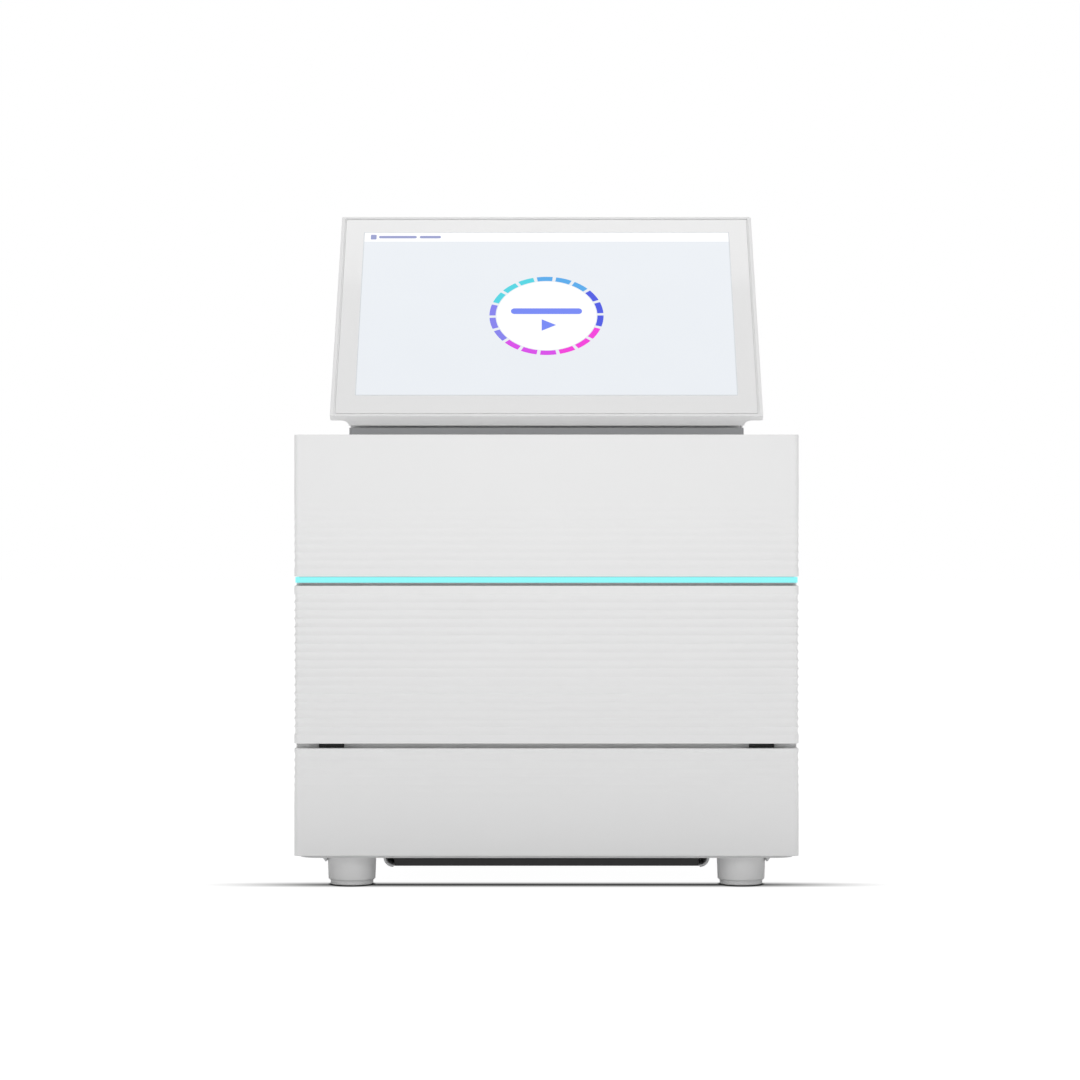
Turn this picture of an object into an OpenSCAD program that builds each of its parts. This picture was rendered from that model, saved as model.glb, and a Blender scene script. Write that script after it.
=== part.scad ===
/* [Case] */
// Overall width of the case
case_w = 305; // [304:0.5:308]
// Overall depth of the case
case_d = 330; // [329:0.5:334]
// Height of the flat top above the bench
case_top = 273.4; // [272:0.2:278]
// Lower edge of the covers above the bench
skirt_z = 18.8; // [18.4:0.1:19.2]
// Wall of the moulded covers
cover_t = 2.5; // [2.3:0.1:2.8]
// Outer radius of the upright front corners
corner_r = 3; // [2.9:0.1:4]
// Length of the fluted covers' returns along the sides
return_l = 20; // [17:0.5:21]

/* [Front] */
// Top edge of the lower front panel
lower_top = 83.8; // [82.6:0.1:83.9]
// Bottom edge of the door
door_z0 = 86.7; // [86.7:0.1:87.4]
// Top edge of the door
door_z1 = 182.2; // [180.8:0.1:182.3]
// Underside of the light bar
bar_z0 = 183.9; // [183.8:0.1:184.4]
// Height of the light bar
bar_h = 3.3; // [2.8:0.1:3.4]
// Bottom edge of the visor
visor_z0 = 187.6; // [187.5:0.1:188.2]

/* [Flutes] */
// Distance between crests
flute_pitch = 5.02; // [4.8:0.02:5.4]
// Full depth of a flute
flute_depth = 0.65; // [0.4:0.05:0.8]
// Width of the narrow crest between two flutes
flute_crest = 0.32; // [0.25:0.01:0.6]
// Height of one crest, from which the others are counted
flute_z = 91.9; // [91.5:0.1:92.3]

/* [Monitor] */
// Width of the monitor
mon_w = 272; // [268:1:276]
// Length of the monitor's front along its slope
mon_l = 188; // [184:0.5:190]
// Lean of the raised monitor back from upright, in degrees
mon_tilt = 43.1; // [42:0.1:45]
// Thickness of the monitor from glass to back
mon_t = 24; // [23:0.5:24]
// Thickness of the monitor's rim
rim_t = 3.9; // [3.6:0.1:4.4]
// Width of the lit display
display_w = 240.7; // [236:0.1:244]
// Height of the lit display along the slope
display_h = 153.2; // [148:0.1:155]
// Width of the deep middle of the monitor and of its plinth
neck_w = 248.8; // [244:0.4:250]

/* [Door drive and tray] */
// Opening angle of the door, in degrees
door_angle = 60; // [50:1:60]
// Forward travel of the cartridge tray
tray_travel = 120; // [100:1:120]
// Tooth module of the door gears
gear_module = 1; // [1]
// Teeth in the full circle of the door's sector
sector_teeth = 48; // [48]
// Teeth of the motor's pinion
pinion_teeth = 12; // [12]
// Clear radial gap of a shaft in its bearing
shaft_clear = 0.05; // [0.03:0.01:0.08]

/* [Feet and air] */
// Distance of a foot's centre from the case's side
foot_side = 33.9; // [32.5:0.1:36]
// Distance of a foot's centre behind the front and before the back
foot_inset = 20; // [19:0.5:24]
// Diameter of the foot where it meets the pan
foot_d = 29.6; // [27:0.2:30]
// Clear width between a foot and the filter tray
filter_gap = 10.8; // [9:0.2:14]
// Side of a square fan frame
fan_size = 80; // [78:1:82]

/* [Hidden] */

$fn = 72;
eps = 0.01;

half_w = case_w / 2;
front_y = -case_d / 2;
back_y = case_d / 2;
seam = 0.3;
inner_x = half_w - cover_t;
inner_front = front_y + cover_t;
rear_lip = 1.6;
rear_y = back_y - rear_lip;
inner_back = rear_y - cover_t;
mid_y = (inner_front + inner_back) / 2;
roof_z = case_top - cover_t;
sheet_t = 2;
pan_z = skirt_z - 1.4;
pan_top = pan_z + sheet_t;
side_plate_x = inner_x - 4;
frame_y = front_y + 13;
frame_t = 4;
frame_back = frame_y + frame_t;
deck_z = lower_top + 4.2;
deck_t = 2.5;
deck_top = deck_z + deck_t;
shelf_z = door_z1 - 0.2;
shelf_t = 2.5;
flange_t = 2;
edge_r = 0.5;
bar_inset = 0.6;
bar_t = 2.2;

hinge_y = front_y + 5.5;
hinge_z = door_z0 + 3.8;
lip_y = hinge_y + 2.7;
lip_t = 1.5;
pin_r = 1.5;
knuckle_r = 2.8;
arm_x = half_w - 22.1;
bracket_w = 14.8;
lug_w = 4.5;
door_inner_y = front_y + 8;
door_inner_t = 2;

flute_fade_low = 50;
flute_full_low = 89;
flute_full_high = 173;
flute_fade_high = 240;

pressure_angle = 20;
addendum = 0.8;
dedendum = 1.2;
backlash = 0.16;
sector_r = gear_module * sector_teeth / 2;
pinion_r = gear_module * pinion_teeth / 2;
mesh_angle = -20;
gear_x = arm_x - 33.4;
gear_w = 6;
pinion_y = hinge_y + (sector_r + pinion_r) * cos(mesh_angle);
pinion_z = hinge_z + (sector_r + pinion_r) * sin(mesh_angle);

tray_z = hinge_z + 60;
tray_t = 4;
tray_w = 120;
tray_y0 = hinge_y + 37.5;
tray_l = 130;
seat_w = 96;
seat_l = 98;
seat_wall = 4;
seat_h = 7.6;
rail_x = 45;
rail_w = 7;
rail_h = 5;
rail_z = tray_z - 9.4;
rail_y0 = frame_back + 2;
rail_l = 166;
bridge_t = 3;
bridge_z = rail_z - bridge_t;
carriage_w = 18;
carriage_l = 26;
carriage_y0 = tray_y0 + tray_l - 28;
screw_r = 3;
screw_z = tray_z - 5;
bearing_t = 4;
bearing_y1 = rail_y0 + rail_l;
coupling_l = 18;
motor_side = 35;

fan_x = fan_size / 2 + 5;
fan_y = front_y + 75;
foot_x = half_w - foot_side;
filter_w = 2 * (foot_x - foot_d / 2 - filter_gap);
fan_t = 25;
filter_y0 = front_y + 22;
filter_l = 118;
filter_z = 10.8;
filter_h = 4.8;

psu_w = 78;
psu_l = 150;
psu_h = 42.6;
psu_x1 = side_plate_x - 6;
psu_x0 = psu_x1 - psu_w;
psu_y1 = inner_back - 20.9;
psu_y0 = psu_y1 - psu_l;
board_x0 = 8 - side_plate_x;
board_x1 = psu_x0 - 12;
board_y0 = fan_y + fan_size / 2 + 30;
board_y1 = inner_back - 24.9;
board_z = pan_top + 8;
board_t = 1.6;
board_top = board_z + board_t;
cooler_w = 60;
cooler_h = 25;
drive_w = 36;
drive_l = 60;
pump_y = front_y + 135;

button_y = front_y + 55;
button_z = 50;
button_r = 7;
button_travel = 1.5;
usb_y = [button_y + 26, button_y + 44];
inlet_x = 60 - inner_x;
inlet_z = 52;
rocker_depth = 7;
port_x = board_x1 - 10;
port_z = 44;

mon_y = front_y + 79.2;
mon_z = case_top + 14.1;
pivot_u = 12.3;
pivot_w = 17.6;
knuckle_d = 7.6;
stem_t = 5.6;
pivot_y = mon_y + pivot_u * sin(mon_tilt) + pivot_w * cos(mon_tilt);
pivot_z = mon_z + pivot_u * cos(mon_tilt) - pivot_w * sin(mon_tilt);
knuckle_x = neck_w / 2 - 36.4;
knuckle_w = 20;
mon_pin_r = 2;
cove_r = 4.6;
neck_u0 = pivot_u - 5.5;
mon_corner = 1.2;
rim_side = 2.2;
rim_end = 1.8;
groove_w = 0.9;
groove_d = 0.6;
display_rise = 1.7;
plinth_y0 = pivot_y - 11.8;
plinth_y1 = pivot_y + 6;
plinth_h = 7.1;
cradle_r = 8.9;
cable_r = 4;
back_t = 2.2;
back_r = 2;
back_corner = 5;
glass_t = 1.5;
glass_fit = 0.1;
glass_w = mon_w - 2 * (rim_side + groove_w + glass_fit);
glass_l = mon_l - 2 * (rim_end + groove_w + glass_fit);

white = [0.93, 0.93, 0.93];
light_grey = [0.86, 0.86, 0.86];
mid_grey = [0.62, 0.63, 0.64];
dark_grey = [0.32, 0.33, 0.34];
near_black = [0.12, 0.12, 0.13];
steel = [0.72, 0.73, 0.75];
board_green = [0.12, 0.34, 0.24];
bar_cyan = [0.57, 0.97, 0.97];

// ---------- shared shapes ----------

// Box by its lowest corner and its far corner
module span(a, b) {
    translate(a) cube([b[0] - a[0], b[1] - a[1], b[2] - a[2]]);
}

// Copies the children at both signs of x
module both_sides() {
    children();
    mirror([1, 0, 0]) children();
}

// Cylinder along x from x0 to x1
module rod_x(x0, x1, y, z, r) {
    translate([x0, y, z]) rotate([0, 90, 0]) cylinder(h = x1 - x0, r = r);
}

// Cylinder along y from y0 to y1
module rod_y(y0, y1, x, z, r) {
    translate([x, y0, z]) rotate([-90, 0, 0]) cylinder(h = y1 - y0, r = r);
}

// Flat rectangle with round corners, centred
module round_rect(w, l, r) {
    if (w > 2 * r) square([w - 2 * r, l], center = true);
    if (l > 2 * r) square([w, l - 2 * r], center = true);
    for (sx = [-1, 1], sy = [-1, 1]) translate([sx * (w / 2 - r), sy * (l / 2 - r)]) circle(r);
}

// Depth of a flute whose middle is at height z: full over the door, fading above and below it
function depth_at(z) =
    flute_depth
    * max(0, min(1, (z - flute_fade_low) / (flute_full_low - flute_fade_low)))
    * max(0, min(1, (flute_fade_high - z) / (flute_fade_high - flute_full_high)));

// Section of a cover wall: x runs inward from the outer face, y is the height
module wall_section(z0, z1, t, fluted) {
    chord = flute_pitch - flute_crest;
    difference() {
        translate([0, z0]) square([t, z1 - z0]);
        if (fluted)
            for (k = [floor((z0 - flute_z) / flute_pitch) : ceil((z1 - flute_z) / flute_pitch)]) {
                low = flute_z + k * flute_pitch;
                d = depth_at(low + flute_pitch / 2);
                r = d > 0 ? (chord * chord / 4 + d * d) / (2 * d) : 1;
                if (d > 0.05 && low > z0 + edge_r && low + flute_pitch < z1 - edge_r)
                    translate([d - r, low + flute_pitch / 2]) circle(r, $fn = 180);
            }
        for (end = [0, 1]) translate([0, end ? z1 : z0]) mirror([0, end]) difference() {
            translate([-1, -1]) square(1 + edge_r);
            translate([edge_r, edge_r]) circle(edge_r);
        }
    }
}

// Sweeps a wall section across the front, round both corners and back along both sides
module wrap(inset = 0) {
    r = corner_r - inset;
    x1 = half_w - corner_r;
    y1 = front_y + corner_r;
    translate([-x1, front_y + inset, 0]) rotate([90, 0, 90]) linear_extrude(2 * x1) children();
    both_sides() {
        translate([x1, y1, 0]) rotate([0, 0, -90]) rotate_extrude(angle = 90)
            translate([r, 0]) mirror([1, 0]) children();
        translate([half_w - inset, front_y + return_l, 0]) rotate([90, 0, 0])
            linear_extrude(return_l - corner_r) mirror([1, 0]) children();
    }
}

// Plate with a round-cornered outline, lying flat
module plate(w, l, t, r) {
    linear_extrude(t) round_rect(w, l, r);
}

// Involute of a pressure angle, in degrees
function inv(a) = tan(a) * 180 / PI - a;

// Half the angle of a tooth at radius r, for a gear with pitch radius rp and n teeth
function tooth_half(r, rp, n) =
    90 / n - backlash / 2 / rp * 180 / PI + inv(pressure_angle)
    - inv(acos(min(1, rp * cos(pressure_angle) / r)));

// Outline of the teeth from first to last, the tooth 0 standing on the x axis
function teeth(rp, n, first, last) = [
    for (i = [first : last], side = [-1, 1], s = [0 : 4])
        let (
            step = side < 0 ? s : 4 - s,
            r = rp - dedendum * gear_module + step * (addendum + dedendum) * gear_module / 4,
            a = i * 360 / n + side * tooth_half(max(r, rp * cos(pressure_angle)), rp, n)
        ) [r * cos(a), r * sin(a)]
];

// Block of slots, each lying along x, repeated upward
module slot_rows(x0, x1, z0, rows, pitch, h, y, depth) {
    for (i = [0 : rows - 1]) {
        translate([x0, y - depth, z0 + i * pitch]) cube([x1 - x0, 2 * depth, h]);
        for (x = [x0, x1]) rod_y(y - depth, y + depth, x, z0 + i * pitch + h / 2, h / 2);
    }
}

// ---------- base and feet ----------

function foot_places() = [
    for (sx = [-1, 1], y = [front_y + foot_inset, back_y - foot_inset]) [sx * foot_x, y]
];

module base_pan() color(light_grey) difference() {
    translate([0, mid_y, pan_z]) plate(2 * inner_x - 1, inner_back - inner_front - 1, sheet_t, 12);
    for (sx = [-1, 1]) translate([sx * fan_x, fan_y, pan_z - 1]) cylinder(h = sheet_t + 2, d = fan_size - 5);
    for (p = foot_places()) translate([p[0], p[1], pan_z - 1]) cylinder(h = sheet_t + 2, r = 2.05);
    for (x = [board_x0 + 28 : 10 : board_x1 - 10])
        translate([x, (board_y0 + board_y1) / 2, pan_z - 1]) linear_extrude(sheet_t + 2) round_rect(4, 60, 2);
}

module feet() color(mid_grey) for (p = foot_places()) translate([p[0], p[1], 0]) difference() {
    rotate_extrude() difference() {
        polygon([
            [0, 0.4], [12.6, 0.4], [13, 0.8], [13, 3], [foot_d / 2 - 1.3, 3], [foot_d / 2 - 0.5, 3.8],
            [foot_d / 2, pan_z], [0, pan_z]
        ]);
        translate([0, pan_z - 7]) square([2.05, 10]);
    }
    translate([0, 0, -1]) cylinder(h = 2.4, r = 10.2);
}

module foot_pads() color(near_black) for (p = foot_places()) translate([p[0], p[1], 0]) {
    cylinder(h = 1.4, r = 10);
}

module foot_brackets() color(dark_grey) for (p = foot_places()) translate([p[0], p[1], 0])
    mirror([p[0] < 0 ? 1 : 0, 0, 0])
        rotate([90, 0, 0]) translate([foot_d / 2 + 0.2, 0, -7]) linear_extrude(14)
        polygon([[0, pan_z - 3], [0.8, pan_z - 3], [2.2, pan_z - 1], [2.2, pan_z], [0, pan_z]]);

module screws() color(steel) {
    for (p = foot_places()) translate([p[0], p[1], 0]) {
        translate([0, 0, pan_z - 6]) cylinder(h = 8 + sheet_t, r = 2);
        translate([0, 0, pan_top]) cylinder(h = 2.4, r = 3.6);
    }
    for (sx = [-1, 1], z = [30, case_top - 11.4]) rod_y(rear_y, rear_y + 1.2, sx * (inner_x - 7), z, 2.8);
}

// ---------- chassis ----------

module chassis_plate() difference() {
    span([side_plate_x, frame_back, pan_top], [side_plate_x + sheet_t, inner_back, roof_z]);
    for (y = [frame_back + 58 : 45 : inner_back - 25], z = [124, 158, 212, 246])
        translate([side_plate_x - 1, y, z]) rotate([90, 0, 90])
            linear_extrude(sheet_t + 2) round_rect(34, z > 200 ? 24 : 18, 8);
}

module left_chassis_plate() color(steel) difference() {
    mirror([1, 0, 0]) chassis_plate();
    span([-inner_x, button_y - 10, button_z - 12], [-side_plate_x + 1, button_y + 54, button_z + 12]);
}

module right_chassis_plate() color(steel) chassis_plate();

module front_frame() color(light_grey) difference() {
    union() {
        span([-inner_x + 3, frame_y, deck_z - 22], [inner_x - 3, frame_back, roof_z - 2]);
        for (sx = [-1, 1]) translate([sx * (inner_x - 12), 0, 0])
            span([-9, frame_y, pan_top], [9, frame_back, deck_z - 22]);
    }
    translate([0, frame_y + frame_t / 2, tray_z + 10.6]) rotate([90, 0, 0])
        linear_extrude(frame_t + 2, center = true) round_rect(tray_w + 36, 36, 4);
    span([gear_x - 2, frame_y - 1, hinge_z - 28], [gear_x + gear_w + 2, frame_back + 1, hinge_z + 28]);
    for (x = [-90 : 60 : 90]) translate([x, frame_y + frame_t / 2, 228]) rotate([90, 0, 0])
        linear_extrude(frame_t + 2, center = true) round_rect(36, 36, 6);
}

module deck() color(steel) difference() {
    span([-side_plate_x, frame_back, deck_z], [side_plate_x, inner_back - 20, deck_top]);
    span([gear_x - 3, frame_back - 1, deck_z - 1], [gear_x + gear_w + 3, pinion_y + 12, deck_top + 1]);
    for (sx = [-1, 1], x = [26, 56], y = [-15 : 45 : 75]) translate([sx * (side_plate_x - x), y, deck_z - 1])
        linear_extrude(deck_t + 2) round_rect(18, 34, 6);
}

module upper_shelf() color(steel) difference() {
    span([-side_plate_x, frame_back, shelf_z], [side_plate_x, 100, shelf_z + shelf_t]);
    for (sx = [-1, 1], y = [-90 : 45 : 45]) translate([sx * (side_plate_x - 41), y, shelf_z - 1])
        linear_extrude(shelf_t + 2) round_rect(36, 34, 8);
    for (x = [-45, 0, 45]) translate([x, 72, shelf_z - 1])
        linear_extrude(shelf_t + 2) round_rect(34, 22, 5);
}

// ---------- covers ----------

// Side cover on the right: a flat panel with a rounded top edge and bosses on its inner face
module side_cover() {
    translate([half_w, rear_y, 0]) rotate([90, 0, 0])
        linear_extrude(rear_y - front_y - return_l - 1)
            mirror([1, 0]) wall_section(skirt_z, case_top, cover_t, false);
    for (y = [-45, 45], z = [40, 112, 200]) rod_x(side_plate_x + sheet_t, inner_x + eps, y, z, 5);
}

module left_cover() color(white) difference() {
    mirror([1, 0, 0]) side_cover();
    rod_x(-half_w - 1, -inner_x + 1, button_y, button_z, button_r + 0.4);
    for (y = usb_y) span([-half_w - 1, y - 7, button_z - 3.3], [-inner_x + 1, y + 7, button_z + 3.3]);
}

module right_cover() color(white) side_cover();

module top_cover() color(white) difference() {
    translate([0, mid_y, roof_z])
        plate(2 * inner_x - 2 * seam, inner_back - inner_front - 2 * seam, cover_t, 0.6);
    translate([0, pivot_y, roof_z - 1]) cylinder(h = cover_t + 2, r = cable_r);
}

module rear_panel() color(white) difference() {
    translate([0, rear_y, (skirt_z + case_top) / 2]) rotate([90, 0, 0])
        plate(2 * inner_x - 2 * seam, case_top - skirt_z, cover_t, 1);
    slot_rows(35 - inner_x, -25, 150, 12, 8, 3.6, rear_y - 1, 4);
    slot_rows(25, inner_x - 35, 150, 12, 8, 3.6, rear_y - 1, 4);
    slot_rows(-30, inner_x - 40, 92, 5, 7, 3, rear_y - 1, 4);
    span([inlet_x - 14.3, inner_back - 1, inlet_z - 27.3], [inlet_x + 14.3, back_y + 1, inlet_z + 27.3]);
    span([port_x - 20.3, inner_back - 1, port_z - 8.3], [port_x + 20.3, back_y + 1, port_z + 8.3]);
}

module visor() color(white) {
    wrap() wall_section(visor_z0, case_top, cover_t, true);
    span([-inner_x - eps, inner_front - eps, visor_z0], [inner_x + eps, frame_y, visor_z0 + flange_t]);
    for (i = [-2 : 2]) translate([i * (inner_x - 30) / 2, 0, 0])
        span([-1, inner_front - eps, visor_z0 + 8], [1, frame_y, roof_z - 2]);
}

module lower_front_panel() color(white) difference() {
    union() {
        wrap() wall_section(skirt_z, lower_top, cover_t, true);
        span([-inner_x - eps, inner_front - eps, lower_top - flange_t],
            [inner_x + eps, lip_y + lip_t, lower_top]);
        span([-inner_x - eps, lip_y, lower_top - eps], [inner_x + eps, lip_y + lip_t, door_z0 - 0.4]);
        for (sx = [-1, 1]) translate([sx * (inner_x - 12), 0, 0])
            span([-4, inner_front - eps, 26], [4, frame_y, 54]);
    }
    for (sx = [-1, 1]) translate([sx * arm_x, 0, 0])
        span([-bracket_w / 2 - seam, lip_y - 1, lower_top], [bracket_w / 2 + seam, frame_y, door_z0]);
}

module light_bar() color(bar_cyan) wrap(bar_inset) translate([0, bar_z0]) square([bar_t, bar_h]);

module led_strip() color(mid_grey) {
    y = front_y + bar_inset + bar_t + 0.1;
    x = half_w - bar_inset - bar_t - 0.1;
    span([-x, y, door_z1 + 0.4], [x, y + 1.4, visor_z0]);
    both_sides() span([x - 1.4, y, door_z1 + 0.4], [x, front_y + return_l, visor_z0]);
    for (x = [10 - inner_x : 14 : inner_x - 10])
        span([x - 1.5, y + 1.4 - eps, bar_z0 + 0.6], [x + 1.5, y + 2.4, visor_z0 - 1]);
}

// ---------- door ----------

module door_notches(extra) {
    for (sx = [-1, 1]) translate([sx * arm_x, 0, 0])
        span([-bracket_w / 2 - extra, inner_front, door_z0 - 1],
            [bracket_w / 2 + extra, frame_y, hinge_z + 7]);
}

module door_skin() color(white) difference() {
    union() {
        wrap() wall_section(door_z0, door_z1, cover_t, true);
        span([-inner_x - eps, inner_front - eps, door_z0],
            [inner_x + eps, door_inner_y + door_inner_t, door_z0 + flange_t]);
        span([-inner_x - eps, inner_front - eps, door_z1 - flange_t],
            [inner_x + eps, door_inner_y + door_inner_t, door_z1]);
    }
    door_notches(lug_w + 0.6);
}

module door_inner_panel() color(light_grey) difference() {
    union() {
        span([-inner_x + 3, door_inner_y, door_z0 + flange_t],
            [inner_x - 3, door_inner_y + door_inner_t, door_z1 - flange_t]);
        for (i = [-2 : 2]) translate([i * (inner_x - 4) / 2, 0, 0])
            span([-1, inner_front, door_z0 + flange_t], [1, door_inner_y + eps, door_z1 - flange_t]);
    }
    door_notches(lug_w + 0.6);
    span([gear_x - 1, inner_front - 1, door_z0 - 1], [gear_x + gear_w + 1, frame_y, hinge_z + 15]);
    translate([0, door_inner_y + door_inner_t, (door_z0 + door_z1) / 2]) rotate([90, 0, 0])
        linear_extrude(0.8, center = true) round_rect(2 * gear_x - 14, 60, 5);
}

module door_hinge_arms() color(mid_grey) both_sides() for (side = [-1, 1]) {
    x0 = arm_x + side * (bracket_w / 2 + 0.3 + lug_w / 2) - lug_w / 2;
    difference() {
        union() {
            rod_x(x0, x0 + lug_w, hinge_y, hinge_z, knuckle_r);
            span([x0, inner_front, hinge_z - 1.5], [x0 + lug_w, hinge_y + 1.5, hinge_z + 7]);
            span([x0, inner_front, hinge_z + 5.5], [x0 + lug_w, hinge_y + 1.5, hinge_z + 22]);
        }
        rod_x(x0 - 1, x0 + lug_w + 1, hinge_y, hinge_z, pin_r);
    }
}

module door_hinge_pins() color(steel) both_sides()
    rod_x(arm_x - bracket_w / 2 - 0.3 - lug_w, arm_x + bracket_w / 2 + 0.3 + lug_w, hinge_y, hinge_z, pin_r);

module door_hinge_brackets() color(near_black) both_sides() {
    x0 = arm_x - bracket_w / 2;
    difference() {
        union() {
            rod_x(x0, x0 + bracket_w, hinge_y, hinge_z, knuckle_r);
            span([x0, hinge_y + 2.1, lower_top + 0.4], [x0 + bracket_w, frame_y, hinge_z + 1.4]);
            span([x0, frame_y - 2, lower_top - 20], [x0 + bracket_w, frame_y, hinge_z + 1.4]);
        }
        rod_x(x0 - 1, x0 + bracket_w + 1, hinge_y, hinge_z, pin_r + shaft_clear);
    }
}

// First tooth of the sector at rest, counted from the tooth that meets the pinion
sector_first = -ceil((door_angle + 3) / (360 / sector_teeth));
sector_last = 1;

module door_sector_gear() color(mid_grey) translate([gear_x, hinge_y, hinge_z]) rotate([90, 0, 90]) {
    tooth = 360 / sector_teeth;
    low = (sector_first - 0.5) * tooth;
    high = (sector_last + 0.5) * tooth;
    root = sector_r - dedendum;
    inner = root - 4;
    top = mesh_angle + high;
    linear_extrude(gear_w) rotate(mesh_angle) polygon(concat(
        [for (i = [8 : -1 : 0]) let (a = low + (high - low) * i / 8) inner * [cos(a), sin(a)]],
        [root * [cos(low), sin(low)]],
        teeth(sector_r, sector_teeth, sector_first, sector_last),
        [root * [cos(high), sin(high)]]
    ));
    linear_extrude(gear_w) polygon([
        [inner_front - hinge_y, 4], [inner_front - hinge_y, 14], [0, 14],
        (root - 1) * [cos(top - 1), sin(top - 1)],
        (root - 2) * [cos(top - 16), sin(top - 16)],
        [1.5, 1.5]
    ]);
}

module door_pinion() color(mid_grey) {
    translate([gear_x - 0.5, pinion_y, pinion_z]) rotate([90, 0, 90]) linear_extrude(gear_w + 1)
        rotate(mesh_angle + 180 + 180 / pinion_teeth)
            polygon(teeth(pinion_r, pinion_teeth, 0, pinion_teeth - 1));
    rod_x(gear_x - 7.5, gear_x + gear_w + 2, pinion_y, pinion_z, pin_r);
}

module door_gearmotor() color(steel) {
    half = deck_z - pinion_z;
    difference() {
        union() {
            span([gear_x - 13, pinion_y - half, pinion_z - half],
                [gear_x - 2, pinion_y + half, pinion_z + half]);
            rod_x(gear_x - 38, gear_x - 13 + eps, pinion_y, pinion_z, 6);
            rod_x(gear_x - 40, gear_x - 38 + eps, pinion_y, pinion_z, 2);
        }
        rod_x(gear_x - 8, gear_x, pinion_y, pinion_z, pin_r + shaft_clear);
    }
}

// ---------- cartridge tray and its screw drive ----------

module tray_bridge() color(steel) difference() {
    union() {
        span([-58, rail_y0, bridge_z], [58, bearing_y1 + bearing_t, bridge_z + bridge_t]);
        for (sx = [-1, 1])
            span([sx * 52 - 1.5, rail_y0 + 4, deck_top], [sx * 52 + 1.5, bearing_y1, bridge_z + eps]);
    }
    for (y = [41 : 43 : rail_l - 35])
        translate([0, rail_y0 + y, bridge_z / 2 + deck_top / 2]) rotate([90, 0, 90])
        linear_extrude(130, center = true) round_rect(30, 30, 8);
    translate([0, rail_y0 + 34, bridge_z - 1]) linear_extrude(bridge_t + 2) round_rect(36, 24, 5);
}

module tray_rails() color(steel) both_sides() difference() {
    span([rail_x - rail_w / 2, rail_y0, rail_z], [rail_x + rail_w / 2, bearing_y1, rail_z + rail_h]);
    for (side = [-1, 1])
        rod_y(rail_y0 - 1, bearing_y1 + 1, rail_x + side * (rail_w / 2 + 0.5), rail_z + 3, 1);
}

module tray_carriages() color(dark_grey) both_sides() difference() {
    span([rail_x - carriage_w / 2, carriage_y0, rail_z + 0.6],
        [rail_x + carriage_w / 2, carriage_y0 + carriage_l, tray_z]);
    span([rail_x - rail_w / 2 - 0.3, carriage_y0 - 1, rail_z],
        [rail_x + rail_w / 2 + 0.3, carriage_y0 + carriage_l + 1, rail_z + rail_h + 0.3]);
}

module cartridge_tray() color(light_grey) {
    mid = tray_y0 + seat_wall + seat_l / 2;
    difference() {
        union() {
            translate([0, tray_y0 + tray_l / 2, tray_z]) plate(tray_w, tray_l, tray_t, 5);
            translate([0, mid, tray_z + tray_t - eps])
                plate(seat_w + 2 * seat_wall, seat_l + 2 * seat_wall - 2, seat_h, 4);
        }
        translate([0, mid, tray_z + tray_t - 1.6]) plate(seat_w, seat_l, seat_h + 4, 3);
        translate([0, mid + 14, tray_z - 1]) plate(36, 34, tray_t + 2, 3);
        for (sx = [-1, 1]) translate([sx * (seat_w / 2 + 2), mid - 20, tray_z + tray_t + seat_h])
            rotate([0, 90, 0]) cylinder(h = 14, r = 5, center = true);
    }
}

module tray_nut() color(near_black) difference() {
    span([-7, carriage_y0 + 2, screw_z - 4.1], [7, carriage_y0 + 18, tray_z]);
    rod_y(carriage_y0, carriage_y0 + 20, 0, screw_z, screw_r + shaft_clear);
}

module lead_screw() color(steel) {
    rod_y(rail_y0, bearing_y1 + bearing_t + 9, 0, screw_z, screw_r);
}

module screw_bearings() color(dark_grey) for (y = [rail_y0 + 0.5, bearing_y1]) difference() {
    span([-8, y, bridge_z + bridge_t], [8, y + bearing_t, screw_z + 4.6]);
    rod_y(y - 1, y + bearing_t + 1, 0, screw_z, screw_r + shaft_clear);
}

module shaft_coupling() color(mid_grey) difference() {
    rod_y(bearing_y1 + bearing_t + 1, bearing_y1 + bearing_t + 1 + coupling_l, 0, screw_z, 8);
    rod_y(bearing_y1, bearing_y1 + bearing_t + 9, 0, screw_z, screw_r + 0.01);
    rod_y(bearing_y1 + bearing_t + 11, bearing_y1 + 40, 0, screw_z, 2.5 + shaft_clear);
    for (a = [0, 90]) translate([0, bearing_y1 + bearing_t + 7 + a / 15, screw_z]) rotate([0, a, 0])
        translate([2, 0, 0]) cube([14, 1, 20], center = true);
}

module tray_motor() color(near_black) {
    y0 = bearing_y1 + bearing_t + coupling_l + 3;
    difference() {
        union() {
            span([-motor_side / 2, y0, screw_z - motor_side / 2],
                [motor_side / 2, y0 + 32, screw_z + motor_side / 2]);
            rod_y(y0 - 1.5, y0 + eps, 0, screw_z, 11);
            rod_y(y0 - 9.5, y0, 0, screw_z, 2.5);
            span([-motor_side / 2, y0 + 2, deck_top],
                [motor_side / 2, y0 + 12, screw_z - motor_side / 2 + eps]);
        }
        for (sx = [-1, 1], sz = [-1, 1])
            translate([sx * motor_side / 2, y0 + 16, screw_z + sz * motor_side / 2])
            rotate([0, 45, 0]) cube([4, 40, 4], center = true);
    }
}

module thermal_plate() color(steel) both_sides()
    span([9.5, tray_y0 + 38, bridge_z + bridge_t], [32, tray_y0 + 72, tray_z - 0.6]);

module heat_sink() color(mid_grey) translate([0, tray_y0 + 36, bridge_z]) {
    span([-36, 0, -4], [36, 40, 0]);
    for (x = [-34 : 5 : 36]) span([x - 1, 0, -26], [x + 1, 40, -4 + eps]);
}

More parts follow.
